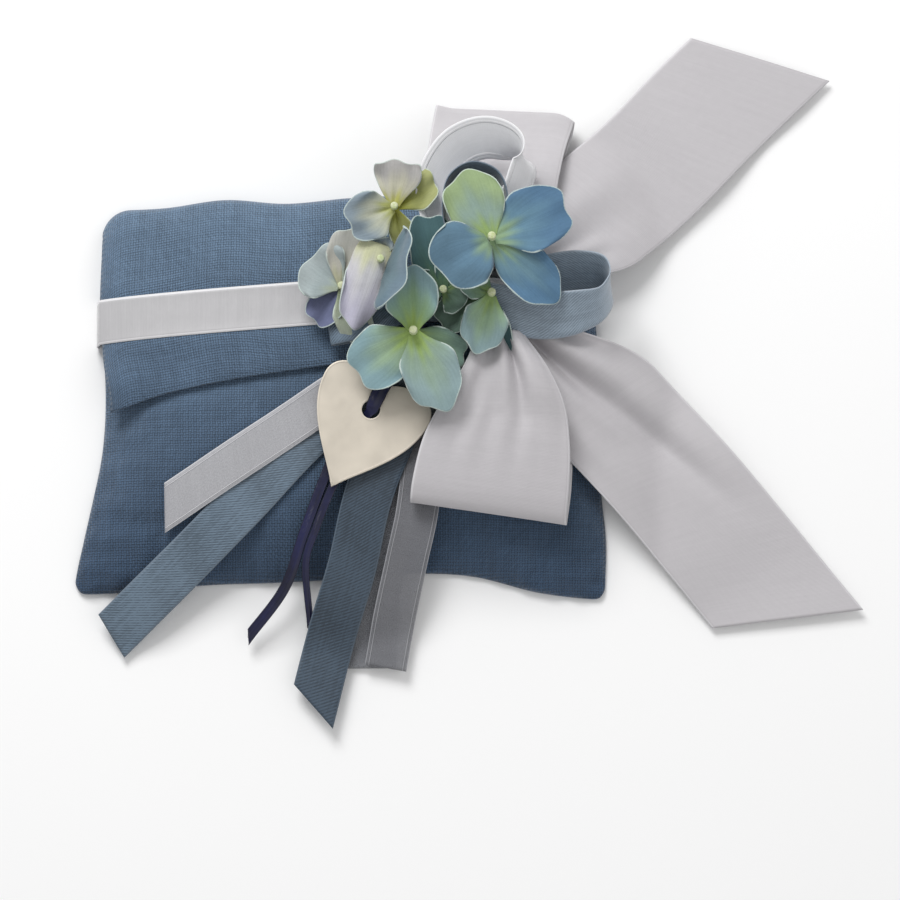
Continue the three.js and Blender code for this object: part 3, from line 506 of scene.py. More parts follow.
@dataclass(frozen=True)
class LinenFinish:
    """Plain-woven slubby linen, with painted shade: light along the top and darker below, as the light falls
    from above.
    """

    name: str = "linen"
    # The linen's own blue at the top and at the bottom; it darkens towards the bottom as painted shade from
    # the light above.
    light: tuple = (98, 119, 141)
    painted_shade_bottom: tuple = (56, 75, 98)
    low: float = -0.062
    high: float = 0.062
    pitch: float = 0.00082
    wander: float = 0.5
    thread: float = 0.0007
    slub: float = 0.016
    worn_scale: float = 55.0
    twill: float = 0.0007
    twill_share: float = 8.0
    twill_turn: float = math.radians(38)
    weights: tuple = (0.8, 0.9, 0.5, 0.45)
    tone_span: tuple = (1.05, 1.95, 0.48, 1.52)
    slub_bump: tuple = (0.00025, 0.8)
    weave_bump: tuple = (0.00016, 0.9)

    def make(self) -> bpy.types.Material:
        """Returns the material."""
        r = Recipe(self.name, Roughness=0.92, Sheen_Weight=0.3, Sheen_Roughness=0.5, Specular_IOR_Level=0.2)
        cloth = r.measure()
        weave = r.threads(cloth, self.pitch, self.wander)
        sizes = ((self.thread, self.slub), (self.slub, self.thread))
        across, up = (r.noise(r.stretched(cloth, (1 / a, 1 / b, 1)), 1.0) for a, b in sizes)
        slubs = r.total((across, 0.5), (up, 0.5))
        worn = r.noise(r.place(), self.worn_scale, 3.0)
        lines = r.stretched(cloth, (1 / self.twill, 1 / (self.twill_share * self.twill), 1), self.twill_turn)
        lit = r.total(*zip((weave, slubs, worn, r.noise(lines, 1.0)), self.weights))
        # Painted shade: the colour runs from the darker bottom tone to the lighter top tone, by place up the
        # pouch.
        fade = r.span(r.part(r.place(), Axis.ACROSS), self.low, self.high)
        base = r.blended(fade, screen(*self.painted_shade_bottom), screen(*self.light))
        r.join(r.toned(base, r.span(lit, *self.tone_span)))
        r.bump(slubs, *self.slub_bump)
        r.bump(weave, *self.weave_bump)
        return r.material


class Weave(Enum):
    """How a ribbon is woven: the turn of its ribs, and the size of its streaks along and across."""

    FINE_RIB = (0.0, (0.0007, 0.02))
    TWILL = (math.radians(52), (0.02, 0.0008))
    SATIN = (0.0, (0.02, 0.0008))


@dataclass(frozen=True)
class RibbonFinish:
    """A woven ribbon whose selvedges are a little lighter or darker than its middle, with painted sheen in
    soft light and dark bands along it.
    """

    name: str
    middle: tuple
    edge: tuple
    weave: Weave
    width: float
    selvedge: float = 0.0007
    roughness: float = 0.6
    sheen: float = 0.4
    gloss: float = 0.5
    mottle: float = 0.12
    relief: float = 0.25
    painted_sheen_bands: float = 0.2
    pitch: float = 0.00042
    clear: float = 0.0
    stitch: float = 0.0
    rim_shares: tuple = (1.2, 0.8)
    stitch_shares: tuple = (0.75, 0.35)
    broken: tuple = (0.3, 0.6)
    broken_scale: float = 900.0
    cloud_scale: float = 420.0
    sheen_band_size: tuple = (0.022, 0.05)
    weights: tuple = (0.6, 0.4)
    tone_span: tuple = (0.2, 0.8)
    mesh_scale: float = 2600.0
    mesh_share: float = 0.5
    mesh_clear: float = 0.2
    rim_solid: float = 0.95
    rib_bump: tuple = (0.00006, 0.5)
    rim_bump: tuple = (0.0001, 0.6)
    stitch_bump: tuple = (0.00015, 0.7)

    def ribs(self, r: Recipe, cloth: Socket) -> Socket:
        """Returns the height of the ribs, from 0 to 1, broken here and there."""
        line = r.part(r.stretched(cloth, (1.0, 1.0, 1.0), self.weave.value[0]), Axis.ALONG)
        wave = r.math("SINE", r.math("MULTIPLY", line, 2 * math.pi / self.pitch))
        broken = r.span(r.noise(cloth, self.broken_scale, 1.0), *self.broken)
        return r.span(r.math("MULTIPLY", wave, broken), -1, 1)

    def make(self) -> bpy.types.Material:
        """Returns the material."""
        r = Recipe(self.name, Roughness=self.roughness, Sheen_Weight=self.sheen, Sheen_Roughness=0.35,
                   Specular_IOR_Level=self.gloss)
        cloth, half = r.measure(), self.width / 2
        off = r.math("ABSOLUTE", r.math("SUBTRACT", r.part(cloth, Axis.ACROSS), half))
        rim = r.span(off, *(half - self.selvedge * share for share in self.rim_shares))
        height = self.ribs(r, cloth)
        # The wide noise is painted sheen: soft light and dark bands at random places along the ribbon.
        streak, wide = (r.noise(r.stretched(cloth, (1 / a, 1 / b, 1)), 1.0, detail)
                        for (a, b), detail in ((self.weave.value[1], 2.0), (self.sheen_band_size, 1.0)))
        tone = r.total(*zip((streak, r.noise(cloth, self.cloud_scale, 3.0)), self.weights),
                       (r.math("SUBTRACT", height, 0.5), self.relief),
                       (r.math("SUBTRACT", wide, 0.5), self.painted_sheen_bands))
        shade = r.span(tone, *self.tone_span, 1 - self.mottle, 1 + self.mottle)
        shown = r.blended(rim, r.toned(screen(*self.middle), shade), screen(*self.edge))
        if self.stitch:
            inner = r.math("ABSOLUTE", r.math("SUBTRACT", off, half - self.stitch))
            sewn = r.span(inner, *(self.selvedge * share for share in self.stitch_shares))
            shown = r.blended(sewn, shown, screen(*self.edge))
            r.bump(sewn, *self.stitch_bump)
            rim = r.math("MAXIMUM", rim, sewn)
        r.join(shown)
        if self.clear:
            mesh = r.math("MULTIPLY", r.noise(cloth, self.mesh_scale, 1.0), self.mesh_share)
            solid = r.math("ADD", mesh, 1 - self.clear - self.mesh_clear)
            r.join(r.math("MAXIMUM", solid, r.math("MULTIPLY", rim, self.rim_solid), clamp=True), "Alpha")
        r.bump(height, *self.rib_bump)
        r.bump(rim, *self.rim_bump)
        return r.material


@dataclass(frozen=True)
class PetalFinish:
    """Dyed petal cloth, painted from the foot out, with veins along it and a pale cut rim."""

    name: str = "petal"
    rim: tuple = (206, 219, 212)
    rim_width: float = 0.00036
    rim_fade: tuple = (1.0, 0.35)
    rim_strength: float = 0.75
    vein_stretch: tuple = (16.0, 1.1, 1.0)
    grain_scale: float = 1700.0
    blotch_scale: float = 240.0
    weights: tuple = (0.4, 0.25, 0.35)
    tone_span: tuple = (0.34, 0.66, 0.88, 1.1)
    vein_bump: tuple = (0.00022, 0.55)
    grain_bump: tuple = (0.00004, 0.5)

    def make(self) -> bpy.types.Material:
        """Returns the material."""
        r = Recipe(self.name, Roughness=0.8, Sheen_Weight=0.25, Sheen_Roughness=0.4, Specular_IOR_Level=0.2)
        paint = r.node("Attribute", {}, attribute_name="dye").outputs["Color"]
        edge = r.node("Attribute", {}, attribute_name="rim").outputs["Fac"]
        veins = r.noise(r.stretched(r.measure("blade"), self.vein_stretch), 1.0)
        grain = r.noise(r.place(), self.grain_scale)
        tone = r.total(*zip((veins, grain, r.noise(r.place(), self.blotch_scale, 3.0)), self.weights))
        body = r.toned(paint, r.span(tone, *self.tone_span))
        ragged = r.math("ADD", edge, r.math("MULTIPLY", r.math("SUBTRACT", grain, 0.5), self.rim_width))
        fade = (self.rim_width * share for share in self.rim_fade)
        r.join(r.blended(r.span(ragged, *fade, 0.0, self.rim_strength), body, screen(*self.rim)))
        r.bump(veins, *self.vein_bump)
        r.bump(grain, *self.grain_bump)
        return r.material


@dataclass(frozen=True)
class MetalFinish:
    """Warm silver plate with a soft, finely brushed face."""

    name: str = "charm_metal"
    tone: tuple = (226, 217, 202)
    dull_share: float = 0.9
    roughness: tuple = (0.34, 0.52)
    rough_span: tuple = (0.6, 1.4)
    brush: tuple = (0.0002, 0.006)
    brush_turn: float = math.radians(40)
    cloud_scale: float = 130.0
    brush_bump: tuple = (0.00002, 0.35)

    def make(self) -> bpy.types.Material:
        """Returns the material."""
        r = Recipe(self.name, Metallic=0.55)
        across, down = self.brush
        grain = r.noise(r.stretched(r.place(), (1 / across, 1 / down, 1), self.brush_turn), 1.0, 3.0)
        cloud = r.noise(r.place(), self.cloud_scale, 3.0)
        r.join(r.span(r.math("ADD", grain, cloud), *self.rough_span, *self.roughness), "Roughness")
        dull = tuple(part * self.dull_share for part in self.tone)
        r.join(r.blended(cloud, screen(*dull), screen(*self.tone)))
        r.bump(grain, *self.brush_bump)
        return r.material


@dataclass(frozen=True)
class PlainFinish:
    """A grained stuff of two close colours."""

    name: str
    first: tuple
    second: tuple
    grain: float
    depth: float
    roughness: float = 0.85
    rough: float = 0.6
    tone_span: tuple = (0.35, 0.65)
    strength: float = 0.8

    def make(self) -> bpy.types.Material:
        """Returns the material."""
        r = Recipe(self.name, Roughness=self.roughness)
        spots = r.noise(r.place(), 1 / self.grain, 3.0, self.rough)
        r.join(r.blended(r.span(spots, *self.tone_span), screen(*self.first), screen(*self.second)))
        r.bump(spots, self.depth, self.strength)
        return r.material


@dataclass(frozen=True)
class MuslinFinish:
    """Thin open cotton."""

    name: str = "muslin"
    tone: tuple = (236, 231, 218)
    shade_share: float = 0.8
    pitch: float = 0.0008
    wander: float = 0.6
    weave_bump: tuple = (0.0002, 0.8)

    def make(self) -> bpy.types.Material:
        """Returns the material."""
        r = Recipe(self.name, Roughness=0.95)
        weave = r.threads(r.measure(), self.pitch, self.wander)
        shaded = tuple(part * self.shade_share for part in self.tone)
        r.join(r.blended(weave, screen(*shaded), screen(*self.tone)))
        r.bump(weave, *self.weave_bump)
        return r.material


FINE = {"weave": Weave.FINE_RIB}
TWILLED = {"weave": Weave.TWILL, "width": 0.015, "selvedge": 0.0004, "pitch": 0.0007, "roughness": 0.4,
           "mottle": 0.4, "relief": 0.8}
GAUZE = {**FINE, "width": 0.013, "roughness": 0.45, "selvedge": 0.0003, "stitch": 0.0012, "mottle": 0.08}
FINISHES = (
    LinenFinish(),
    MuslinFinish(),
    PlainFinish("filling", (120, 98, 70), (168, 146, 108), 0.0012, 0.0006),
    RibbonFinish("white_satin", (182, 181, 183), (224, 223, 225), width=0.014, roughness=0.42, pitch=0.0005,
                 mottle=0.06, **FINE),
    RibbonFinish("ring_satin", (238, 238, 240), (236, 236, 238), Weave.SATIN, 0.015, roughness=0.36,
                 mottle=0.05, stitch=0.0018),
    RibbonFinish("bow_ribbon", (190, 187, 190), (212, 210, 213), width=0.040, selvedge=0.0005, roughness=0.55,
                 mottle=0.05, **FINE),
    RibbonFinish("blue_ribbon", (94, 110, 125), (108, 122, 136), painted_sheen_bands=1.3, **TWILLED),
    # Copies of the blue ribbon: a darker one is painted shade for the centre tail, and a lighter one is
    # painted sheen for the right loop.
    RibbonFinish("blue_painted_shade", (58, 72, 86), (82, 96, 110), painted_sheen_bands=1.1, **TWILLED),
    RibbonFinish("blue_painted_sheen", (140, 155, 169), (158, 170, 182), painted_sheen_bands=0.8,
                 **{**TWILLED, "mottle": 0.3, "relief": 0.7}),
    # Copies of the sheer ribbon: a lighter one is painted sheen for the left tail, and a darker one is
    # painted shade for the right tail.
    RibbonFinish("sheer_painted_sheen", (184, 184, 188), (208, 208, 212), clear=0.32, **GAUZE),
    RibbonFinish("sheer_painted_shade", (124, 125, 130), (160, 161, 166), clear=0.38, **GAUZE),
    RibbonFinish("organza", (128, 130, 136), (150, 152, 158), width=0.020, roughness=0.45, clear=0.45,
                 mottle=0.1, **FINE),
    RibbonFinish("navy_ribbon", (16, 19, 56), (10, 12, 38), Weave.SATIN, 0.003, selvedge=0.0002,
                 roughness=0.32, sheen=0.15, mottle=0.6, painted_sheen_bands=1.6),
    MetalFinish(),
    PetalFinish(),
    PlainFinish("pip", (186, 198, 140), (212, 216, 184), 0.0009, 0.0002, 0.6),
    PlainFinish("stem", (84, 112, 58), (118, 138, 76), 0.0015, 0.0002, 0.6),
)


# Cloth meshes

def clear_selection() -> None:
    """Leaves nothing selected and no object being edited."""
    if bpy.context.object and bpy.context.object.mode != "OBJECT":
        bpy.ops.object.mode_set(mode="OBJECT")
    bpy.ops.object.select_all(action="DESELECT")


def slab_faces(rows: int, columns: int, ring: bool) -> np.ndarray:
    """Lists the faces between two grids of points.

    Args:
        rows: how many rows each grid has.
        columns: how many columns.
        ring: whether the last row joins the first.

    Returns:
        For each face its four corners, each a side, a row and a column.
    """
    run, cross = np.arange(rows if ring else rows - 1), np.arange(columns - 1)
    i, j = (part.ravel() for part in np.meshgrid(run, cross, indexing="ij"))
    end, last = rows - 1, columns - 1
    quads = [((0, i, j), (0, i + 1, j), (0, i + 1, j + 1), (0, i, j + 1)),
             ((1, i, j), (1, i, j + 1), (1, i + 1, j + 1), (1, i + 1, j)),
             ((0, run, 0), (1, run, 0), (1, run + 1, 0), (0, run + 1, 0)),
             ((0, run, last), (0, run + 1, last), (1, run + 1, last), (1, run, last))]
    if not ring:
        quads += [((0, 0, cross), (0, 0, cross + 1), (1, 0, cross + 1), (1, 0, cross)),
                  ((0, end, cross), (1, end, cross), (1, end, cross + 1), (0, end, cross + 1))]
    return np.concatenate([np.stack([np.stack(np.broadcast_arrays(*corner), -1) for corner in quad], 1)
                           for quad in quads])


def slab_piece(name: str, top: np.ndarray, bottom: np.ndarray, measure: np.ndarray, ring: bool = False,
               uv_name: str = "cloth") -> bpy.types.Object:
    """Makes a closed, smooth piece between two grids of points, with its faces pointing outwards.

    Args:
        name: the piece's name.
        top: its upper points, in rows and columns.
        bottom: its lower points.
        measure: the place on the cloth at each point, with one more row on a ring.
        ring: whether its last row joins its first.
        uv_name: the name of its own measure.

    Returns:
        The piece.
    """
    rows, columns = top.shape[:2]
    side, row, column = np.moveaxis(slab_faces(rows, columns, ring), -1, 0)
    faces = side * rows * columns + (row % rows) * columns + column
    points = np.concatenate([top.reshape(-1, 3), bottom.reshape(-1, 3)])
    first, second, third = points[faces[:, :3].T]
    mesh = bpy.data.meshes.new(name)
    mesh.from_pydata(points.tolist(), [], faces.tolist())
    mesh.uv_layers.new(name=uv_name).data.foreach_set("uv", measure[row, column].ravel())
    if (first * np.cross(second, third)).sum() < 0:
        mesh.flip_normals()
    mesh.polygons.foreach_set("use_smooth", [True] * len(faces))
    made = bpy.data.objects.new(name, mesh)
    bpy.context.collection.objects.link(made)
    return made


def facing(middles: np.ndarray, ring: bool) -> np.ndarray:
    """Returns the unit normals of a grid of points."""
    if ring:
        ahead = np.roll(middles, -1, 0) - np.roll(middles, 1, 0)
    else:
        ahead = np.gradient(middles, axis=0)
    return unit(np.cross(ahead, np.gradient(middles, axis=1)))


def cloth_piece(name: str, middles: np.ndarray, thick: float, width: float = 0.0,
                ring: bool = False) -> bpy.types.Object:
    """Makes a sheet of even thickness round a grid of middle points.

    Args:
        name: the piece's name.
        middles: its middle points, in rows along and columns across.
        thick: how thick it is.
        width: the width that it was woven to, where its columns are spread evenly on the cloth.
        ring: whether its last row joins its first.

    Returns:
        The piece.
    """
    out = facing(middles, ring) * thick / 2
    closed = np.concatenate([middles, middles[:1]]) if ring else middles
    run = run_along(closed[:, closed.shape[1] // 2])
    spans = np.linalg.norm(np.diff(closed, axis=1), axis=-1)
    across = np.concatenate([np.zeros((len(closed), 1)), np.cumsum(spans, 1)], 1)
    if width:
        across = np.linspace(0, width, middles.shape[1])
    measure = np.stack(np.broadcast_arrays(run[:, None], across), -1)
    return slab_piece(name, middles + out, middles - out, measure, ring)


class Workshop:
    """Hands out finishes, and ties each finished piece to its body."""

    def __init__(self) -> None:
        """Makes each finish once."""
        self.materials = {finish.name: finish.make() for finish in FINISHES}
        self.count = 0

    def finish(self, piece: bpy.types.Object, look: str, slot: str, *nodes: str,
               body: Optional[str] = "pouch") -> None:
        """Dresses a piece and ties it in.

        Args:
            piece: the piece.
            look: the name of its finish.
            slot: the record's material slot; not used.
            nodes: the solids that it stands for.
            body: the body that it rides on, or None where it is blended instead.
        """
        piece.data.materials.clear()
        piece.data.materials.append(self.materials[look])
        if body:
            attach(piece, body)
        if nodes:
            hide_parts(*nodes)
        self.count += 1
        LOG.info("%s: %d faces, finish %s", piece.name, len(piece.data.polygons), look)


# Narrow ribbons, which are cords

@dataclass
class NavyRibbon:
    """A narrow satin ribbon that lies loose over the pile of ribbons."""

    name: str
    course: Pairs
    layer: float
    over: Pairs = ()
    seat: tuple = (-0.0001, -0.0003)
    reach: float = 0.076
    width: float = 0.003
    thick: float = 0.0005
    spans: int = 14
    columns: int = 9
    flare: tuple = (1.0, 1.0, 1.0)
    flare_rows: int = 4
    ridge: float = 0.0005
    ridge_place: float = -0.2
    ridge_spread: float = 0.3
    ridge_rows: tuple = (1, 6)
    charm_reach: tuple = (0.032, 0.042)
    cut: float = 0.0
    cut_rows: int = 5

    def line(self, charm: "HeartCharm") -> np.ndarray:
        """Finds the ribbon's middle line.

        Args:
            charm: the heart charm, which part of a ribbon may lie on.

        Returns:
            The points of the line.
        """
        hole = charm.hole_place
        place = hole + np.array(self.course) * self.reach
        laid = np.column_stack([place, DRAPE.layer(place[:, 0], place[:, 1], self.layer, self.thick)])
        if not self.over:
            return smooth_course(laid, self.spans)
        above = hole + np.array(self.over) * self.reach
        high = charm.floor + charm.thick + FORM.gap + self.thick / 2
        over = np.column_stack([above, np.full(len(above), high)])
        through = np.array([[*(hole + self.seat), charm.floor + charm.thick / 2]])
        return smooth_course(np.concatenate([over, through, laid]), self.spans)

    def build(self, shop: Workshop, charm: "HeartCharm") -> None:
        """Args:
            shop: the workshop.
            charm: the heart charm.
        """
        line = self.line(charm)
        heading = unit(np.gradient(line, axis=0))
        side = unit(np.stack([heading[:, 1], -heading[:, 0], np.zeros(len(line))], -1))
        row = np.arange(len(line))
        away = np.linalg.norm(line[:, :2] - charm.hole_place, axis=1)
        hole_row = away.argmin() if self.over else 0
        start, hole, end = self.flare
        broad = np.interp(row, (0, hole_row, hole_row + self.flare_rows, row[-1]), (start, hole, 1.0, end))
        v = np.linspace(-1, 1, self.columns)
        across = v * self.width / 2 * broad[:, None]
        longer = -self.cut * across * smooth(row, row[-1] - self.cut_rows, row[-1])[:, None]
        middles = line[:, None] + side[:, None] * across[..., None] + heading[:, None] * longer[..., None]
        free = np.maximum(smooth(away, *self.charm_reach), smooth(hole_row - row, *self.ridge_rows))
        ridge = self.ridge * np.exp(-((v - self.ridge_place) / self.ridge_spread) ** 2)
        middles[..., 2] += free[:, None] * ridge
        piece = cloth_piece(f"{self.name}_satin", middles, self.thick, self.width)
        shop.finish(piece, "navy_ribbon", "navy_ribbon", self.name)


# Pouch

@dataclass
class Pouch:
    """The linen pouch, which the scent bag inside it swells."""

    columns: int = 76
    rows: int = 60
    crowd: float = 0.5
    wall: float = 0.0006
    fill: float = 0.6
    pucker: float = 0.001
    pucker_span: float = 0.009
    pucker_stray: float = 3
    pucker_noise: Shares = (30, 1.7)
    pucker_fade_share: float = 0.06
    wrinkle: float = 0.0013
    wrinkle_noise: Shares = (42, 5.3)
    wrinkle_turn: float = math.radians(28)
    wrinkle_stretch: tuple = (0.45, 1.6)
    wrinkle_top_share: float = 0.4
    wrinkle_heights: tuple = (-0.02, 0.0)
    swirl: float = 0.0005
    swirl_noise: Shares = (28, 9.1)
    flap_reach: float = 0.004
    roof_rises: tuple = (0.0006, -0.0002)
    frames: int = 20
    start_share: float = 0.9
    sewn_share: float = 0.02
    cap: float = 0.003
    spare: float = 0.018
    pressure: float = 1.2
    sink: float = 0.0018
    rules: tuple = (("quality", 6), ("mass", 0.15), ("tension_stiffness", 12.0),
                    ("compression_stiffness", 12.0), ("shear_stiffness", 4.0), ("bending_stiffness", 0.15),
                    ("use_pressure", True))

    def grid(self) -> tuple[np.ndarray, np.ndarray]:
        """Returns shares across and up, as two grids."""
        return np.meshgrid(steps(self.columns, self.crowd), steps(self.rows, self.crowd), indexing="ij")

    def wrinkles(self, x: np.ndarray, y: np.ndarray, s: np.ndarray, t: np.ndarray) -> np.ndarray:
        """Finds how far the cloth rises or sinks in its creases.

        Args:
            x: places across.
            y: places up.
            s: shares across.
            t: shares up.

        Returns:
            The rise at each place.
        """
        beside, above = np.minimum(s, 1 - s), np.minimum(t, 1 - t)
        near = np.exp(-np.minimum(beside, above) / self.pucker_fade_share)
        walk = np.where(beside < above, y, x)
        stray = self.pucker_stray * cloth_noise(x, y, *self.pucker_noise)
        seam = np.sin(walk / self.pucker_span * 2 * math.pi + stray) * near
        cos, sin = math.cos(self.wrinkle_turn), math.sin(self.wrinkle_turn)
        across, up = self.wrinkle_stretch
        folds = cloth_noise((x * cos + y * sin) * across, (y * cos - x * sin) * up, *self.wrinkle_noise)
        folds = folds * lerp(self.wrinkle_top_share, 1, 1 - smooth(y, *self.wrinkle_heights))
        swell = cloth_noise(x, y, *self.swirl_noise)
        return seam * self.pucker + folds * self.wrinkle + swell * self.swirl

    def build(self, shop: Workshop) -> None:
        """Makes the pouch.

        Args:
            shop: the workshop.
        """
        s, t = self.grid()
        x, y = FORM.point(s, t)
        front, under = FORM.front(x, y), FORM.band_lift(x, y)
        fullness = (FORM.swell(s) * FORM.swell(t)) ** 0.5
        open_rise, flap_rise = self.roof_rises
        roof = front + np.where(y > FORM.flap_edge_y(s) - self.flap_reach, flap_rise, open_rise)
        height = np.minimum(front + self.wrinkles(x, y, s, t) * fullness, roof)
        top, bottom = np.stack([x, y, height], -1), np.stack([x, y, under], -1)
        piece = slab_piece("pouch_body", top, bottom, np.stack([x, y], -1))
        self.swell_out(piece, fullness, roof)
        apply_modifier(piece, "SUBSURF", levels=1, render_levels=1)
        apply_modifier(piece, "SOLIDIFY", thickness=self.wall, offset=-1)
        shop.finish(piece, "linen", "linen", "back_panel", "front_panel")

    def swell_out(self, piece: bpy.types.Object, fullness: np.ndarray, roof: np.ndarray) -> None:
        """Lets the filling press the front out, so that the cloth puckers towards its sewn edge.

        Args:
            piece: the pouch.
            fullness: how far from its sewn edge each point of the front lies.
            roof: how high each point of the front may stand.
        """
        vertices, size = piece.data.vertices, fullness.size
        start, moved = (np.empty(len(vertices) * 3) for _ in range(2))
        vertices.foreach_get("co", start)
        start = start.reshape(-1, 3)
        small = start.copy()
        small[:size, 2] = lerp(small[size:, 2], small[:size, 2], self.start_share)
        vertices.foreach_set("co", small.ravel())
        sewn = np.flatnonzero(fullness.ravel() < self.sewn_share).tolist()
        held = piece.vertex_groups.new(name="sewn")
        held.add(sewn + list(range(size, len(vertices))), 1.0, "REPLACE")
        cloth = piece.modifiers.new("swell", "CLOTH")
        for key, value in self.rules:
            setattr(cloth.settings, key, value)
        cloth.settings.uniform_pressure_force = self.pressure
        cloth.settings.shrink_min = -self.spare
        cloth.settings.vertex_group_mass = held.name
        cloth.settings.effector_weights.gravity = 0.0
        cloth.point_cache.frame_start, cloth.point_cache.frame_end = 1, self.frames
        for frame_number in range(1, self.frames + 1):
            bpy.context.scene.frame_set(frame_number)
        shape = piece.evaluated_get(bpy.context.evaluated_depsgraph_get()).data
        shape.vertices.foreach_get("co", moved)
        piece.modifiers.remove(cloth)
        piece.vertex_groups.clear()
        bpy.context.scene.frame_set(1)
        move = moved.reshape(-1, 3) - start
        far = np.linalg.norm(move, axis=1, keepdims=True)
        LOG.info("pouch swelled by %.1f mm at most", MILLIMETRES * float(far.max()))
        end = start + move * np.minimum(1, self.cap / np.maximum(far, TINY))
        low = np.minimum(start[:size, 2], roof.ravel()) - self.sink
        end[:size, 2] = np.clip(end[:size, 2], low, roof.ravel())
        vertices.foreach_set("co", end.ravel())
        piece.data.update()


@dataclass
class ScentBag:
    """The muslin bag inside the pouch, and the scented filling inside it."""

    inset: float = 0.009
    thick: float = 0.0004
    fill_inset: float = 0.007
    columns: int = 70
    rows: int = 54
    crowd: float = 0.6
    roof_gap: float = 0.0004
    crease: float = 0.0006
    crease_noise: Shares = (60, 4.4)
    lump: float = 0.0006
    lump_noise: Shares = (420, 2.2)
    fill_least: float = 0.0004
    fill: float = 0.7

    def grid(self, inset: float) -> tuple[np.ndarray, ...]:
        """Finds the room inside the pouch.

        Args:
            inset: how far inside the pouch's outline it starts.

        Returns:
            The places across and up, the room's floor, and the height of the bag's upper face.
        """
        sides = ((FORM.width, self.columns), (FORM.height, self.rows))
        spans = (lerp(inset / side, 1 - inset / side, steps(count, self.crowd)) for side, count in sides)
        s, t = np.meshgrid(*spans, indexing="ij")
        x, y = FORM.point(s, t)
        base = FORM.cloth + FORM.gap
        floor = FORM.band_lift(x, y) + base
        roof = FORM.front(x, y) - base - self.roof_gap
        across, up = self.inset / FORM.width, self.inset / FORM.height
        full = FORM.swell((s - across) / (1 - 2 * across)) * FORM.swell((t - up) / (1 - 2 * up))
        return x, y, floor, floor + lerp(2 * self.thick + FORM.gap, roof - floor, full)

    def build(self, shop: Workshop) -> None:
        """Makes the bag and its filling."""
        x, y, low, top = self.grid(self.inset)
        top = top - np.abs(cloth_noise(x, y, *self.crease_noise)) * self.crease
        self.build_slab(shop, "scent_bag", (x, y, low, top), "muslin", "scent_bag_back", "scent_bag_front")
        x, y, _, top = self.grid(self.inset + self.fill_inset)
        top = top - self.thick - 2 * FORM.gap
        low = np.minimum(FORM.band_thick + FORM.cloth + self.thick + 4 * FORM.gap, top - self.lump)
        top = top + cloth_noise(x, y, *self.lump_noise) * self.lump - self.lump
        top = np.maximum(top, low + self.fill_least)
        self.build_slab(shop, "scent_grains", (x, y, low, top), "filling", "scent_filling")

    def build_slab(self, shop: Workshop, name: str, room: tuple, look: str, *nodes: str) -> None:
        """Makes one padded piece.

        Args:
            shop: the workshop.
            name: the piece's name.
            room: its places across and up, and its lower and upper heights.
            look: its finish.
            nodes: the solids that it stands for.
        """
        x, y, low, top = room
        upper, lower = (np.stack([x, y, height], -1) for height in (top, low))
        piece = slab_piece(name, upper, lower, np.stack([x, y], -1))
        shop.finish(piece, look, look, *nodes)


@dataclass
class Flap:
    """The flap folded over the pouch's top edge, whose lower left corner stands a little lifted off the
    cloth.
    """

    columns: int = 150
    rows: int = 64
    turn_rows: int = 7
    crowds: tuple = (0.3, 0.35)
    low_shares: tuple = (0.7, 1.0)
    edge_share: float = 0.002
    press_share: float = 0.62
    free_shares: tuple = (0.02, 0.1)
    hem_shares: tuple = (0.0, 0.05)
    wave: float = 0.00035
    wave_stretch: tuple = (0.7, 1.3)
    wave_noises: Pairs = ((40, 12.4), (90, 2.9))
    small_wave_share: float = 0.6
    clear: float = 0.0002
    hem: float = 0.0032
    hem_width: float = 0.0006
    hem_sink: float = 0.00016
    fold_start: tuple = (-0.0728, 0.0095, 0.0134)
    fold_across: tuple = (-0.1043, -0.9945, 0.0)
    fold_reach: tuple = (-0.002, 0.005)

    def build(self, shop: Workshop) -> None:
        """Makes the flap and blends its corner.

        Args:
            shop: the workshop.
        """
        a, r = (steps(count, crowd) for count, crowd in zip((self.columns, self.rows), self.crowds))
        a, r = a[:, None], r[None, :]
        inset = lerp(self.edge_share, FORM.flap_low_share, smooth(r, *self.low_shares))
        s = lerp(inset, 1 - inset, a)
        low = FORM.flap_edge_y(s)
        y = lerp(FORM.top_y(s), low, r)
        t = (y - FORM.bottom_y(s)) / (FORM.top_y(s) - FORM.bottom_y(s))
        x, y = FORM.point(s, t)
        pressed = np.exp(-(((y - FORM.band_y(x)) / (FORM.band_width * self.press_share)) ** 4))
        free = (1 - pressed) * smooth(r, *self.free_shares) * smooth(1 - r, *self.hem_shares)
        wide, small = self.wave_noises
        folds = cloth_noise(x * self.wave_stretch[0], y * self.wave_stretch[1], *wide)
        folds = folds + self.small_wave_share * cloth_noise(x, y, *small)
        groove = np.exp(-(((y - low - self.hem) / self.hem_width) ** 2))
        lift = self.wave * (1 + folds) * free - groove * self.hem_sink
        face = np.stack([x, y, FORM.flap(x, y) + FORM.flap_thick / 2 + lift + self.clear], -1)
        edge = FORM.top_y(s[:, :1]) + FORM.gap + FORM.flap_thick / 2
        turn = np.linspace(0, 1, self.turn_rows)[None, :]
        up = lerp(FORM.flap_thick * 0.5, FORM.seam + FORM.gap, turn)
        wall = np.stack(np.broadcast_arrays(x[:, :1], edge, up), -1)
        middles = np.concatenate([wall, face[:, 1:]], 1)
        piece = cloth_piece("linen_flap", middles, FORM.flap_thick)
        shop.finish(piece, "linen", "linen", "flap", "flap_corner", body=None)
        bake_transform(piece)


# Ribbons

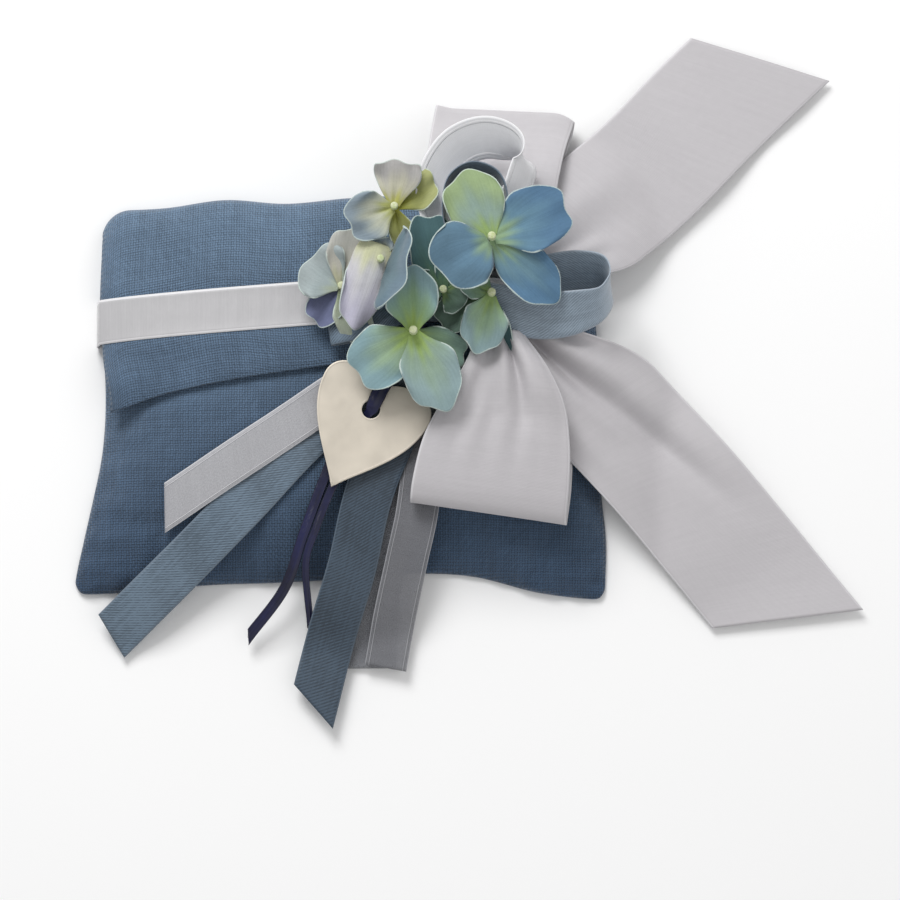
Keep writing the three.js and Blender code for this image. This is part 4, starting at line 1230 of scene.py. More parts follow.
@dataclass
class Band:
    """The satin band, tied once round the pouch."""

    stations: int = 110
    columns: int = 12
    crowd: float = 0.6
    wave: float = 0.00012
    wave_turn: float = 900
    under_stations: int = 24
    under_share: float = 0.95
    turn_shares: tuple = ((0.8, 2.5), (0.5, 1.0))

    def build(self, shop: Workshop) -> None:
        """Makes the band.

        Args:
            shop: the workshop.
        """
        thick = FORM.band_thick
        left, right = (edge(0.5 + FORM.band_share) for edge in (FORM.left_x, FORM.right_x))
        side = np.linspace(-0.5, 0.5, self.columns)

        def row(place: float, height: Optional[float] = None) -> np.ndarray:
            """Returns the points across the band at a place, over the flap unless a height is given."""
            x = np.full(self.columns, place)
            y = FORM.band_y(x) + side * FORM.band_width
            if height is not None:
                return np.stack([x, y, np.full(self.columns, height)], -1)
            wave = self.wave * np.sin(x * self.wave_turn) * (1 - (2 * side) ** 2)
            return np.stack([x, y, FORM.flap(x, y) + FORM.flap_thick + FORM.gap + thick / 2 + wave], -1)

        out, low, crest = 2 * FORM.gap + thick, thick / 2, FORM.seam + FORM.gap
        turns = [(out, crest)] + [(out * far, low * up) for far, up in self.turn_shares]
        rows = [row(lerp(left, right, s)) for s in steps(self.stations, self.crowd)]
        rows += [row(right + far, height) for far, height in turns]
        ends = (right * self.under_share, left * self.under_share)
        rows += [row(place, low) for place in np.linspace(*ends, self.under_stations)]
        rows += [row(left - far, height) for far, height in reversed(turns)]
        middles = np.array(rows)
        piece = cloth_piece("satin_band", middles, thick, FORM.band_width, ring=True)
        shop.finish(piece, "white_satin", "white_satin", "band_ribbon")


@dataclass
class Ribbon:
    """What all the ribbons share: their cloth, and the pleats where a knot gathers them."""

    name: str
    look: str
    slot: str
    width: float
    layer: float = 0.0
    thick: float = 0.00035
    cell: float = 0.0011
    pleats: int = 3
    pleat_share: float = 0.6
    pleat_stray: float = 0.22
    pleat_turn: float = 9
    spare_most: float = 3
    columns_least: int = 9
    creases: Pairs = ()
    crease_start: float = 0.1
    crease_fade: float = 0.35

    @property
    def columns(self) -> np.ndarray:
        """The shares across at which the ribbon's points lie."""
        return np.linspace(0, 1, max(self.columns_least, round(self.width / self.cell) + 1))[None, :]

    def gathers(self, broad: np.ndarray, v: np.ndarray, seed: float) -> np.ndarray:
        """Finds the pleats' height where the ribbon is drawn narrower than its cloth.

        Args:
            broad: the ribbon's present width.
            v: shares across.
            seed: which of many like patterns.

        Returns:
            The height of the pleats.
        """
        spare = np.sqrt(np.clip(self.width / broad - 1, 0, self.spare_most))
        depth = broad / (math.pi * self.pleats) * spare * self.pleat_share
        turns = v * self.pleats + self.pleat_stray * np.sin(v * self.pleat_turn + seed)
        return depth * (1 + np.cos(2 * math.pi * turns + seed)) / 2

    def folds(self, out: np.ndarray, v: np.ndarray) -> np.ndarray:
        """Finds the height of the ribbon's main folds.

        Args:
            out: shares along the ribbon, from the knot.
            v: shares across.

        Returns:
            The height at each place, below zero in a dip.
        """
        rise = np.zeros(np.broadcast_shapes(out.shape, v.shape))
        for place, height, spread, end, drift in self.creases:
            fade = smooth(out, 0.0, self.crease_start) * (1 - smooth(out, end * self.crease_fade, end))
            rise = rise + height * np.exp(-(((v - place - drift * out) / spread) ** 2)) * fade
        return rise

    def finish(self, shop: Workshop, middles: np.ndarray, held: str, rests_on: Sequence[str],
               area_share: float = 1.0) -> None:
        """Args:
            shop: the workshop.
            middles: its points.
            held: how it is held; not used.
            rests_on: what it lies on; not used.
            area_share: how much of a full strip its cut leaves; not used.
        """
        piece = cloth_piece(f"{self.name}_cloth", middles, self.thick, self.width)
        shop.finish(piece, self.look, self.slot, self.name)


@dataclass
class LaidRibbon(Ribbon):
    """A ribbon tail that lies in the pile on the cloth and out over the table."""

    start: Sequence[float] = (0, 0)
    reach: float = 0.1
    course: Pairs = ()
    neck: float = 0.5
    neck_reach: float = 0.3
    slant: float = 0.0
    roll: float = 0.0006
    roll_span: float = 0.034
    roll_slant: float = 1.6
    roll_shares: Shares = (0.15, 0.5)
    fold_shares: Shares = (0.55, 0.8)
    seed: float = 1.0

    def build(self, shop: Workshop) -> None:
        """Makes the ribbon.

        Args:
            shop: the workshop.
        """
        line = smooth_course(np.array(self.course) * self.reach + np.asarray(self.start))
        length = line_length(line)
        u = np.linspace(0, 1, round(length / self.cell))[:, None]
        v = self.columns
        side = 1 - v if self.slant > 0 else v
        at = u * (1 - abs(self.slant) * self.width * side / length)
        point, head = at_shares(line, at)
        broad = self.width * lerp(self.neck, 1, smooth(u, 0, self.neck_reach))
        x = point[..., 0] + head[..., 1] * (v - 0.5) * broad
        y = point[..., 1] - head[..., 0] * (v - 0.5) * broad
        z = DRAPE.layer(x, y, self.layer, self.thick) + self.gathers(broad, v, self.seed)
        swing = np.sin(2 * math.pi * at * length / self.roll_span + self.seed * 2 + self.roll_slant * v)
        z = z + self.roll * (1 + swing) / 2 * smooth(u, *self.roll_shares)
        rise = self.folds(at, v)
        z = z + (rise - min(0.0, float(rise.min()))) * (1 - smooth(at, *self.fold_shares))
        share = 1 - abs(self.slant) * self.width / 2 / length
        self.finish(shop, np.stack([x, y, z], -1), "laid", ["pouch_body", "linen_flap"], share)


LOOP = ((0.16, 0), (0.27, 0), (0.42, 0), (0.62, 0), (0.82, 0.02), (0.94, 0.12), (0.99, 0.32), (1, 0.5),
        (0.985, 0.7), (0.93, 0.88), (0.8, 1), (0.62, 1.08), (0.42, 1.08), (0.27, 0.92), (0.16, 0.62))


@dataclass
class FoldedLoop(Ribbon):
    """A loop that goes out over the pile, folds, and comes back above itself."""

    knot: Sequence[float] = (0, 0)
    heading: float = 0.0
    splay: float = 0.0
    reach: float = 0.06
    rise: float = 0.005
    foot: float = LOOP[0][0]
    tilt: float = 0.0
    corner: float = 0.0
    right_shares: Shares = (0.1, 0.17, 0.33, 0.47, 0.5, 0.5, 0.5)
    left_shares: Shares = (0.1, 0.17, 0.33, 0.47, 0.5, 0.5, 0.5)
    seed: float = 1.0
    spans: int = 10
    tilt_shares: Shares = (0.2, 1.0)
    corner_widths: Shares = (0.16, 0.12)
    corner_right: float = 0.35
    corner_shares: Shares = (0.7, 1.0)
    ease_shares: Shares = (0.45, 0.95)
    upper_shares: Shares = (0.5, 0.9)
    crumple: float = 0.0012
    crumple_scale: float = 60
    crumple_stretch: Shares = (0.16, 0.35)

    def build(self, shop: Workshop) -> None:
        """Makes the loop.

        Args:
            shop: the workshop.
        """
        fit = (1 - self.foot) / (1 - LOOP[0][0])
        table = np.array([[(1 + (out - 1) * fit) * self.reach, up * self.rise] for out, up in LOOP])
        line = smooth_course(table, self.spans)
        out, up = (line[:, k][:, None] for k in range(2))
        share = out / self.reach
        k = np.linspace(0, 1, len(line))[:, None]
        turn = np.radians(self.heading + lerp(-self.splay, self.splay, k) / 2)
        v = self.columns
        right, left = (along(side, share) * self.width for side in (self.right_shares, self.left_shares))
        across = lerp(-right, left, v)
        ahead = out * (1 + self.tilt * (0.5 - v) * smooth(share, *self.tilt_shares))
        near = [np.clip(1 - off / span, 0, 1) for off, span in zip((1 - v, v), self.corner_widths)]
        worn = near[0] ** 2 - self.corner_right * near[1]
        ahead = ahead - self.corner * worn * smooth(share, *self.corner_shares)
        x = self.knot[0] + np.cos(turn) * ahead + np.sin(turn) * across
        y = self.knot[1] + np.sin(turn) * ahead - np.cos(turn) * across
        spread = np.broadcast_arrays(*(part * size for part, size in zip((v, out), self.crumple_stretch)))
        crease = cloth_noise(*spread, self.crumple_scale, self.seed) * self.crumple
        upper = smooth(up, *(self.rise * part for part in self.upper_shares))
        z = DRAPE.layer(x, y, self.layer, self.thick) + up + self.gathers(right + left, v, self.seed)
        z = z + crease * (1 - smooth(share, *self.ease_shares)) + self.folds(share, v) * upper
        self.finish(shop, np.stack([x, y, z], -1), "gathered", ["pouch_body", "linen_flap"])


@dataclass
class FreeLoop(Ribbon):
    """A ribbon that stands free along a course in space."""

    start: Sequence[float] = (0, 0)
    reach: float = 0.04
    course: Pairs = ()
    lean: Pairs = ()
    spans: int = 9

    def build(self, shop: Workshop) -> None:
        """Makes the loop.

        Args:
            shop: the workshop.
        """
        foot = np.array([*self.start, DRAPE.seat(self.start)])
        line = smooth_course(np.array(self.course) * self.reach + foot, self.spans)
        heading = unit(np.gradient(line, axis=0))
        u = np.linspace(0, 1, len(line))
        lean = np.stack([along(part, u) for part in zip(*self.lean)], -1)
        lean = unit(lean - (lean * heading).sum(1, keepdims=True) * heading)
        v = self.columns
        middles = line[:, None] + lean[:, None] * ((v - 0.5) * self.width)[..., None]
        self.finish(shop, middles, "gathered", ["bow_knot_cloth"])


# Knots, charm, flowers

def choose(piece: bpy.types.Object) -> None:
    """Selects a piece and makes it the active one."""
    bpy.context.view_layer.objects.active = piece
    piece.select_set(True)


@contextmanager
def editing() -> Iterator[None]:
    """Opens the active piece for editing, and closes it afterwards."""
    bpy.ops.object.mode_set(mode="EDIT")
    try:
        yield
    finally:
        bpy.ops.object.mode_set(mode="OBJECT")


def turn_out() -> None:
    """Turns all faces of the piece being edited outwards."""
    bpy.ops.mesh.select_all(action="SELECT")
    bpy.ops.mesh.normals_make_consistent(inside=False)


def pick_tops(piece: bpy.types.Object, level: float, height: float = -math.inf) -> None:
    """Selects the faces that look up and whose middles stand above a height."""
    for face in piece.data.polygons:
        face.select = face.normal.z > level and face.center.z > height


def apply_modifier(piece: bpy.types.Object, kind: str, **settings: object) -> None:
    """Adds a modifier to a piece and applies it.

    Args:
        piece: the piece.
        kind: the modifier's type.
        settings: its settings.
    """
    clear_selection()
    choose(piece)
    made = piece.modifiers.new(kind.lower(), kind)
    for key, value in settings.items():
        setattr(made, key, value)
    bpy.ops.object.modifier_apply(modifier=made.name)


def settle(piece: bpy.types.Object, name: str) -> bpy.types.Object:
    """Names a new primitive and puts its place, turn and size into its mesh."""
    piece.name = piece.data.name = name
    choose(piece)
    bpy.ops.object.transform_apply(location=True, rotation=True, scale=True)
    bpy.ops.object.shade_smooth()
    return piece


@dataclass
class Knot:
    """A ribbon drawn tight round itself, with pleats running over it."""

    name: str
    look: str
    place: Sequence[float]
    radii: Sequence[float]
    pleats: int = 7
    depth: float = 0.0005
    segments: int = 32
    rings: int = 20
    lobes: int = 3

    @property
    def middle(self) -> Vector:
        """The knot's middle."""
        return Vector((*self.place, DRAPE.seat(self.place) + self.radii[2]))

    def build(self, shop: Workshop) -> None:
        """Makes the knot.

        Args:
            shop: the workshop.
        """
        clear_selection()
        bpy.ops.mesh.primitive_uv_sphere_add(segments=self.segments, ring_count=self.rings, radius=1)
        piece = bpy.context.object
        piece.scale = self.radii
        piece.location = self.middle
        settle(piece, f"{self.name}_wrap")
        with editing():
            bpy.ops.mesh.select_all(action="SELECT")
            bpy.ops.mesh.subdivide(number_cuts=1, smoothness=1.0)
        centre = self.middle
        for corner in piece.data.vertices:
            away = corner.co - centre
            turn = math.atan2(away.y, away.x)
            sway = math.sin(self.lobes * turn)
            crease = math.sin(self.pleats * away.y / self.radii[1] * math.pi + sway)
            corner.co = centre + away * (1 - self.depth / self.radii[0] * (1 + crease))
        bpy.ops.mesh.customdata_custom_splitnormals_clear()
        piece.data.uv_layers[0].name = "cloth"
        shop.finish(piece, self.look, self.look, self.name)


@dataclass
class HeartCharm:
    """A flat metal heart with a hole near its top, which turns about the ribbon through the hole."""

    width: float = 0.036
    length: float = 0.038
    thick: float = 0.0015
    hole: float = 0.0056
    layer: float = 5.1
    turn: float = math.radians(-27)
    bevel: float = 0.00035
    bevel_steps: int = 3
    resolution: int = 20
    merge: float = 1e-6
    rim: float = 0.0004
    rim_depth: float = 0.00003
    face_gap: float = 0.000035
    level: float = 0.9
    sharp: float = math.radians(35)
    hole_shares: tuple = (0.051, -0.052)
    tip: tuple = (0, -0.71)
    sides: tuple = (((0.3, -0.497), (1, -0.241), (1, 0.1)), ((1, 0.232), (0.78, 0.29), (0.5, 0.29)),
                    ((0.25, 0.29), (0.06, 0.247), (0, 0.17)))

    @property
    def outline(self) -> list[list[tuple]]:
        """The heart's points round its edge, each with the handle before it and the handle after it."""
        right = [self.tip] + [point for side in self.sides for point in side]
        left = [(-x, y) for x, y in reversed(right[1:-1])]
        ring = right + left
        count = len(ring)
        return [[ring[(k - 1) % count], ring[k], ring[(k + 1) % count]] for k in range(0, count, 3)]

    @property
    def hole_place(self) -> np.ndarray:
        """The place of the hole on the pouch."""
        return on_pouch(self.hole_shares)

    @property
    def floor(self) -> float:
        """The height of the charm's lower face."""
        return FORM.thick + FORM.flap_thick + 2 * FORM.gap + self.layer * FORM.layer_step

    def build(self, shop: Workshop) -> None:
        """Makes the charm.

        Args:
            shop: the workshop.
        """
        clear_selection()
        bpy.ops.curve.primitive_bezier_circle_add(radius=self.hole / 2, location=(0, 0, 0))
        piece = bpy.context.object
        curve = piece.data
        curve.dimensions, curve.fill_mode = "2D", "BOTH"
        edge = curve.splines.new("BEZIER")
        edge.bezier_points.add(len(self.outline) - 1)
        edge.use_cyclic_u = True
        size = Vector((self.width / 2, self.length, 0))
        for point, (before, at, after) in zip(edge.bezier_points, self.outline):
            point.handle_left_type = point.handle_right_type = "FREE"
            point.handle_left, point.co, point.handle_right = (
                Vector((*share, 0)) * size for share in (before, at, after))
        curve.resolution_u = self.resolution
        curve.extrude = self.thick / 2 - self.bevel
        curve.bevel_depth = self.bevel
        curve.bevel_resolution = self.bevel_steps
        curve.offset = -self.bevel
        bpy.ops.object.convert(target="MESH")
        piece = bpy.context.object
        piece.rotation_euler.z = self.turn
        piece.location = (*self.hole_place, self.floor + self.thick / 2)
        settle(piece, "heart_plate")
        with editing():
            bpy.ops.mesh.select_all(action="SELECT")
            bpy.ops.mesh.remove_doubles(threshold=self.merge)
            turn_out()
            bpy.ops.mesh.select_all(action="DESELECT")
        pick_tops(piece, self.level, self.floor + self.thick - self.face_gap)
        with editing():
            bpy.ops.mesh.inset(thickness=self.rim, depth=0)
            bpy.ops.mesh.inset(thickness=self.rim_depth * 2, depth=-self.rim_depth)
        bpy.ops.object.shade_smooth_by_angle(angle=self.sharp)
        shop.finish(piece, "charm_metal", "charm_metal", "heart_charm", body="charm")


@dataclass(frozen=True)
class Dye:
    """The colours of a petal, from its foot to its tip."""

    foot: tuple
    heart: tuple
    tip: tuple


class Tint(Enum):
    """The dyes of the petals; the darkest one also holds painted shade."""

    APPLE = Dye((144, 168, 108), (138, 160, 150), (146, 166, 124))
    BLUE = Dye((138, 164, 130), (100, 134, 154), (84, 116, 144))
    SEA = Dye((136, 162, 122), (106, 138, 152), (88, 122, 150))
    DUSK = Dye((134, 160, 132), (98, 130, 152), (86, 114, 132))
    MOSS = Dye((156, 182, 104), (140, 170, 132), (134, 162, 166))
    AQUA = Dye((154, 180, 104), (144, 168, 140), (128, 156, 162))
    MINT = Dye((154, 180, 104), (142, 164, 146), (140, 162, 164))
    FERN = Dye((136, 160, 98), (120, 146, 116), (118, 144, 132))
    LAGOON = Dye((150, 176, 112), (156, 184, 152), (136, 160, 162))
    LEAF = Dye((112, 134, 88), (90, 114, 96), (100, 122, 110))
    # A dark teal green, made darker still as painted shade for petals deep in the bouquet's shadow.
    POND_PAINTED_SHADE = Dye((76, 102, 78), (62, 90, 86), (74, 104, 108))
    PEARL = Dye((182, 182, 106), (194, 192, 172), (174, 172, 170))
    CREAM = Dye((176, 180, 112), (188, 191, 172), (136, 150, 160))
    OLIVE = Dye((138, 140, 56), (156, 160, 96), (164, 168, 116))
    LILAC = Dye((202, 203, 168), (198, 197, 200), (180, 178, 194))
    MIST = Dye((162, 172, 156), (154, 166, 167), (160, 170, 171))
    SAND = Dye((176, 176, 150), (182, 180, 170), (174, 174, 168))
    VIOLET = Dye((88, 94, 116), (98, 104, 132), (106, 112, 142))
    SAGE = Dye((148, 160, 132), (166, 176, 154), (172, 180, 164))
    SLATE = Dye((86, 108, 116), (96, 120, 130), (108, 128, 142))


def off_line(points: np.ndarray, line: np.ndarray) -> np.ndarray:
    """Returns how far points lie from a line of straight parts."""
    run = np.diff(line, axis=0)
    away = points[..., None, :] - line[:-1]
    share = np.clip((away * run).sum(-1) / np.maximum((run ** 2).sum(-1), TINY ** 2), 0, 1)
    return np.linalg.norm(away - share[..., None] * run, axis=-1).min(-1)


@dataclass
class Petal:
    """One petal: a cupped blade that widens from the floret's eye to a broad, round tip."""

    heading: float
    length_share: float
    width_share: float
    lift: float
    tint: Tint
    roll: float = 0.0
    cup: float = 0.16
    curl: float = -0.1
    blunt: float = 0.45
    start: float = 0.0
    shift: float = 0.0
    sink: float = 0.0
    tip_power: float = 2.5
    length: float = 0.025
    width: float = 0.0185
    thick: float = 0.0003
    rows: int = 26
    columns: int = 25
    wave: float = 0.0011
    wave_turns: Shares = (7, 2.6, 5)
    wave_power: float = 1.5
    wave_shares: Shares = (0.25, 0.8)
    tip_wave: Shares = (0.6, 6)
    crease: float = 0.0006
    crease_width: float = 0.2
    crease_shares: Pairs = ((0.0, 0.2), (0.35, 0.95))
    scallop: float = 0.04
    scallop_turns: Pairs = ((5, 4), (8, 3))
    scallop_shares: Shares = (0.3, 1.0)
    crowds: Shares = (0.4, 0.45)
    bluntest: float = 0.999
    rim_shares: Shares = (0.2, 0.45)
    dye_waves: Pairs = ((0.06, 4, 7), (0.05, 11, 3))
    dye_shares: Pairs = ((0.08, 0.42), (0.42, 0.92))
    dye_bow: float = 0.12
    side_shares: Shares = (0.22, 0.38, 0.6, 0.82, 0.96, 1.0, 0.99)

    def grids(self, centre: np.ndarray, eye: float, seed: float) -> tuple[np.ndarray, ...]:
        """Finds the petal's middle points.

        Args:
            centre: the floret's centre.
            eye: how far from the centre the petal's foot starts.
            seed: which of many like petals.

        Returns:
            The points, the place on the blade at each, its colour and its distance from the petal's rim.
        """
        turn, rise, roll = (math.radians(angle) for angle in (self.heading, self.lift, self.roll))
        level = np.array([math.cos(turn), math.sin(turn), 0])
        ahead = np.array([*(level[:2] * math.cos(rise)), math.sin(rise)])
        side = np.array(Matrix.Rotation(roll, 3, Vector(ahead)) @ Vector((level[1], -level[0], 0)))
        up = np.cross(side, ahead)
        length, half = self.length * self.length_share, self.width * self.width_share / 2
        out, v = (steps(count, crowd) for count, crowd in zip((self.rows, self.columns - 1), self.crowds))
        out, v = out[:, None], 2 * v[None, :] - 1
        (tip_turn, tip_seed), (side_turn, side_seed) = self.scallop_turns
        cuts = np.sin(v * tip_turn + seed * tip_seed) * smooth(out, *self.scallop_shares)
        bow = (1 - self.bluntest * np.abs(v) ** self.tip_power) ** (1 / self.tip_power)
        reach = out * (1 - self.blunt * (1 - bow)) * (1 + self.scallop * cuts) * length
        cuts = np.sin(out * side_turn + seed * side_seed + np.sign(v))
        across = v * half * along(self.side_shares, out) * (1 + self.scallop * cuts)
        ripple = sum(turns * part for turns, part in zip(self.wave_turns, (out, v, seed)))
        ripple = np.sin(ripple) * np.abs(v) ** self.wave_power
        ripple = ripple + self.tip_wave[0] * np.sin(v * self.tip_wave[1] + seed) * out ** 3
        start, end = (smooth(out, *shares) for shares in self.crease_shares)
        groove = np.exp(-((v / self.crease_width) ** 2)) * start * (1 - end)
        bend = self.cup * across ** 2 / half + self.curl * reach ** 2 / length
        bend = bend + self.wave * ripple * smooth(out, *self.wave_shares) - self.crease * groove
        base = centre + level * (eye + self.start) + side * self.shift - up * self.sink
        points = base + ahead * reach[..., None] + side * across[..., None] + up * bend[..., None]
        blade = np.stack(np.broadcast_arrays(v, out), -1)
        rim = off_line(points, np.concatenate([points[:, 0], points[-1, 1:], points[-2::-1, -1]]))
        rim[-1, 0], rim[-1, -1] = rim[-2, 1], rim[-2, -2]
        rim = rim + half * (1 - smooth(out, *self.rim_shares))
        return points, blade, self.dyed(out, v, seed), rim

    def dyed(self, out: np.ndarray, v: np.ndarray, seed: float) -> np.ndarray:
        """Returns the colour at places along and across the petal."""
        dye = self.tint.value
        foot, heart, tip = (np.array(screen(*tone)[:3]) for tone in (dye.foot, dye.heart, dye.tip))
        stray = out + sum(size * np.sin(v * turns + seed * shift) for size, turns, shift in self.dye_waves)
        to_heart, to_tip = (smooth(place, *shares)[..., None] for place, shares in zip(
            (stray, stray + self.dye_bow * np.abs(v)), self.dye_shares))
        return lerp(lerp(foot, heart, to_heart), tip, to_tip)


@dataclass
class Floret:
    """Four petals cut from one piece of cloth, on a wire stem, with a pip at the eye."""

    number: int
    slot: str
    shares: tuple
    stem_angle: float
    petals: tuple
    stem_reach: float = 1.0
    eye: float = 0.0003
    eye_thick: float = 0.0012
    height: float = 0.024
    seeds: Shares = (1.7, 0.9)
    waste: float = 0.5
    pip_radius: float = 0.0021
    pip_height: float = 0.0036
    pip_sides: int = 14
    pip_top: float = 0.9
    pip_rim: float = 0.25
    pip_dent: Shares = (0.2, 0.16)
    pip_bevel: float = 0.12
    level: float = 0.9
    stem_thick: float = 0.0012
    stem_seat: float = 0.0006
    stem_knee: float = 0.12
    stem_neck: float = 0.85
    stem_rise: float = 1.5
    stem_sides: int = 10
    stem_spans: int = 8
    stem_bend: float = 1e-4

    @property
    def name(self) -> str:
        """What the floret is called."""
        return f"floret_{self.number}"

    @property
    def centre(self) -> np.ndarray:
        """The floret's centre."""
        return np.array([*on_pouch(self.shares), FORM.thick + self.shares[2] * self.height])

    def build(self, shop: Workshop, bouquet: "Bouquet") -> None:
        """Makes the floret.

        Args:
            shop: the workshop.
            bouquet: what the stem goes into.
        """
        self.build_petals(shop)
        self.build_pip(shop)
        self.build_stem(shop, bouquet)

    def build_petals(self, shop: Workshop) -> None:
        """Makes the petals as one piece of cloth."""
        blades = []
        for index, petal in enumerate(self.petals):
            seed = self.number * self.seeds[0] + index * self.seeds[1]
            points, blade, tint, rim = petal.grids(self.centre, self.eye, seed)
            out = facing(points, False) * petal.thick / 2
            made = slab_piece(f"{self.name}_blade_{index}", points + out, points - out, blade,
                              uv_name="blade")
            both = np.concatenate([tint.reshape(-1, 3)] * 2)
            layer = made.data.color_attributes.new("dye", "FLOAT_COLOR", "POINT")
            layer.data.foreach_set("color", np.column_stack([both, np.ones(len(both))]).ravel())
            depth = made.data.attributes.new("rim", "FLOAT", "POINT")
            depth.data.foreach_set("value", np.concatenate([rim.ravel()] * 2))
            blades.append(made)
        clear_selection()
        for blade in reversed(blades):
            choose(blade)
        bpy.ops.object.join()
        piece = bpy.context.object
        piece.name = piece.data.name = f"{self.name}_cloth"
        shop.finish(piece, "petal", self.slot, f"{self.name}_petals")

    def build_pip(self, shop: Workshop) -> None:
        """Makes the pip: a small bud with a dented top."""
        base = self.centre[2] + FORM.gap
        middle = Vector((*self.centre[:2], base + self.pip_height / 2))
        clear_selection()
        bpy.ops.mesh.primitive_cylinder_add(vertices=self.pip_sides, radius=self.pip_radius,
                                            depth=self.pip_height, location=middle)
        piece = settle(bpy.context.object, f"{self.name}_bead")
        pick_tops(piece, self.level)
        wide, deep = self.pip_dent
        with editing():
            bpy.ops.transform.resize(value=(self.pip_top, self.pip_top, 1), center_override=tuple(middle))
            bpy.ops.mesh.inset(thickness=self.pip_radius * self.pip_rim, depth=0)
            bpy.ops.mesh.inset(thickness=self.pip_radius * wide, depth=-self.pip_height * deep)
        bevel = self.pip_radius * self.pip_bevel
        apply_modifier(piece, "BEVEL", width=bevel, segments=1, limit_method="ANGLE")
        apply_modifier(piece, "SUBSURF", levels=1, render_levels=1)
        bpy.ops.object.shade_smooth()
        shop.finish(piece, "pip", "pip", f"{self.name}_pip")

    def build_stem(self, shop: Workshop, bouquet: "Bouquet") -> None:
        """Makes the wire stem, drawn out ring by ring from the binding to the eye."""
        ring = bouquet.radius * bouquet.ring_share * self.stem_reach
        turn = math.radians(self.stem_angle)
        foot = bouquet.top + np.array([ring * math.cos(turn), ring * math.sin(turn), self.stem_seat])
        tip = self.centre - np.array([0, 0, self.eye_thick / 2 + self.stem_seat])
        knee, neck = lerp(foot, tip, self.stem_knee), lerp(foot, tip, self.stem_neck)
        knee[2] = foot[2] + self.stem_thick
        neck[2] = min(tip[2] - self.stem_thick / 2, foot[2] + self.stem_rise * self.stem_thick)
        line = smooth_course(np.array([foot, knee, neck, tip]), self.stem_spans)
        heading = np.gradient(line, axis=0)
        clear_selection()
        bpy.ops.mesh.primitive_circle_add(vertices=self.stem_sides, radius=self.stem_thick / 2,
                                          fill_type="NGON", location=line[0])
        piece = bpy.context.object
        ahead = Vector((0, 0, 1))
        for here, there, way in zip(line, line[1:], heading[1:]):
            with editing():
                bpy.ops.mesh.extrude_region_move(TRANSFORM_OT_translate={"value": Vector(there - here)})
            way = Vector(way).normalized()
            axis, angle = ahead.rotation_difference(way).to_axis_angle()
            if abs(angle) > self.stem_bend:
                self.swing(piece, Vector(there), axis, angle)
            ahead = way
        with editing():
            turn_out()
        settle(piece, f"{self.name}_stem_wire")
        shop.finish(piece, "stem", "stem", f"{self.name}_stem")

    def swing(self, piece: bpy.types.Object, pivot: Vector, axis: Vector, angle: float) -> None:
        """Turns the selected ring of a stem about a point."""
        spin = Matrix.Rotation(angle, 4, axis)
        inverse = piece.matrix_world.inverted()
        for corner in piece.data.vertices:
            if corner.select:
                place = piece.matrix_world @ corner.co
                corner.co = inverse @ (pivot + spin @ (place - pivot))


@dataclass
class Bouquet:
    """The florets' stems, bound together over the blue knot."""

    knot: Knot
    radius: float = 0.0028
    height: float = 0.003
    ring_share: float = 0.7
    turns: int = 4
    sides: int = 32
    groove_share: float = 0.93
    bevel: float = 0.0002
    bevel_steps: int = 2
    sharp: float = math.radians(40)

    @property
    def top(self) -> np.ndarray:
        """The middle of the binding's upper face."""
        floor = DRAPE.seat(self.knot.place) + 2 * self.knot.radii[2] + FORM.gap
        return np.array([*self.knot.place, floor + self.height])

    def build(self, shop: Workshop) -> None:
        """Makes the binding, a tape wound round the stems.

        Args:
            shop: the workshop.
        """
        clear_selection()
        middle = self.top - np.array([0, 0, self.height / 2])
        bpy.ops.mesh.primitive_cylinder_add(vertices=self.sides, radius=self.radius, depth=self.height,
                                            location=middle)
        piece = settle(bpy.context.object, "binding_tape")
        groove = (self.groove_share, self.groove_share, 1)
        with editing():
            for turn in range(1, self.turns * 2):
                bpy.ops.mesh.select_all(action="SELECT")
                level = middle[2] + self.height * (turn / (self.turns * 2) - 0.5)
                bpy.ops.mesh.bisect(plane_co=(*middle[:2], level), plane_no=(0, 0, 1))
                if turn % 2:
                    bpy.ops.transform.resize(value=groove, center_override=tuple(middle))
        apply_modifier(piece, "BEVEL", width=self.bevel, segments=self.bevel_steps, limit_method="ANGLE")
        bpy.ops.object.shade_smooth_by_angle(angle=self.sharp)
        shop.finish(piece, "stem", "stem", "stem_binding")


# The whole sachet

BOW_KNOT = Knot("bow_knot", "bow_ribbon", on_pouch((0.281, 0.23)), (0.008, 0.007, 0.005))
BLUE_KNOT = Knot("blue_knot", "blue_ribbon", on_pouch((0.17, 0.215)), (0.0065, 0.0055, 0.0032), 5)
TAIL_START = on_pouch((0.15, 0.155))
NAVY = [
    NavyRibbon("navy_charm_ribbon", (
        (-0.045, -0.05), (-0.08, -0.16), (-0.162, -0.32), (-0.225, -0.48), (-0.263, -0.6), (-0.246, -0.87),
    ), 3, over=((0.2, 0.35), (0.12, 0.2), (0.05, 0.1), (0.015, 0.027)), flare=(2.0, 1.35, 0.7),
        ridge_place=0.1),
    NavyRibbon("navy_tail_left", (
        (-0.11, -0.07), (-0.145, -0.16), (-0.205, -0.31), (-0.275, -0.5), (-0.35, -0.71), (-0.5, -0.905),
    ), 2, flare=(1.0, 1.0, 1.1), cut=1.2),
    NavyRibbon("navy_tail_right", (
        (0.0, -0.12), (-0.05, -0.22), (-0.09, -0.33), (-0.11, -0.47), (-0.105, -0.58),
    ), 2, ridge=0.0),
]
SHEER = {"slot": "sheer_ribbon", "width": 0.013, "start": TAIL_START}
BLUE = {"look": "blue_ribbon", "slot": "blue_ribbon", "width": 0.015}
# The blue ribbon with painted shade, and the blue ribbon with painted sheen.
BLUE_PAINTED_SHADE = {**BLUE, "look": "blue_painted_shade"}
BLUE_PAINTED_SHEEN = {**BLUE, "look": "blue_painted_sheen"}
BOW = {"look": "bow_ribbon", "slot": "bow_ribbon", "width": 0.040, "pleat_share": 0.75}
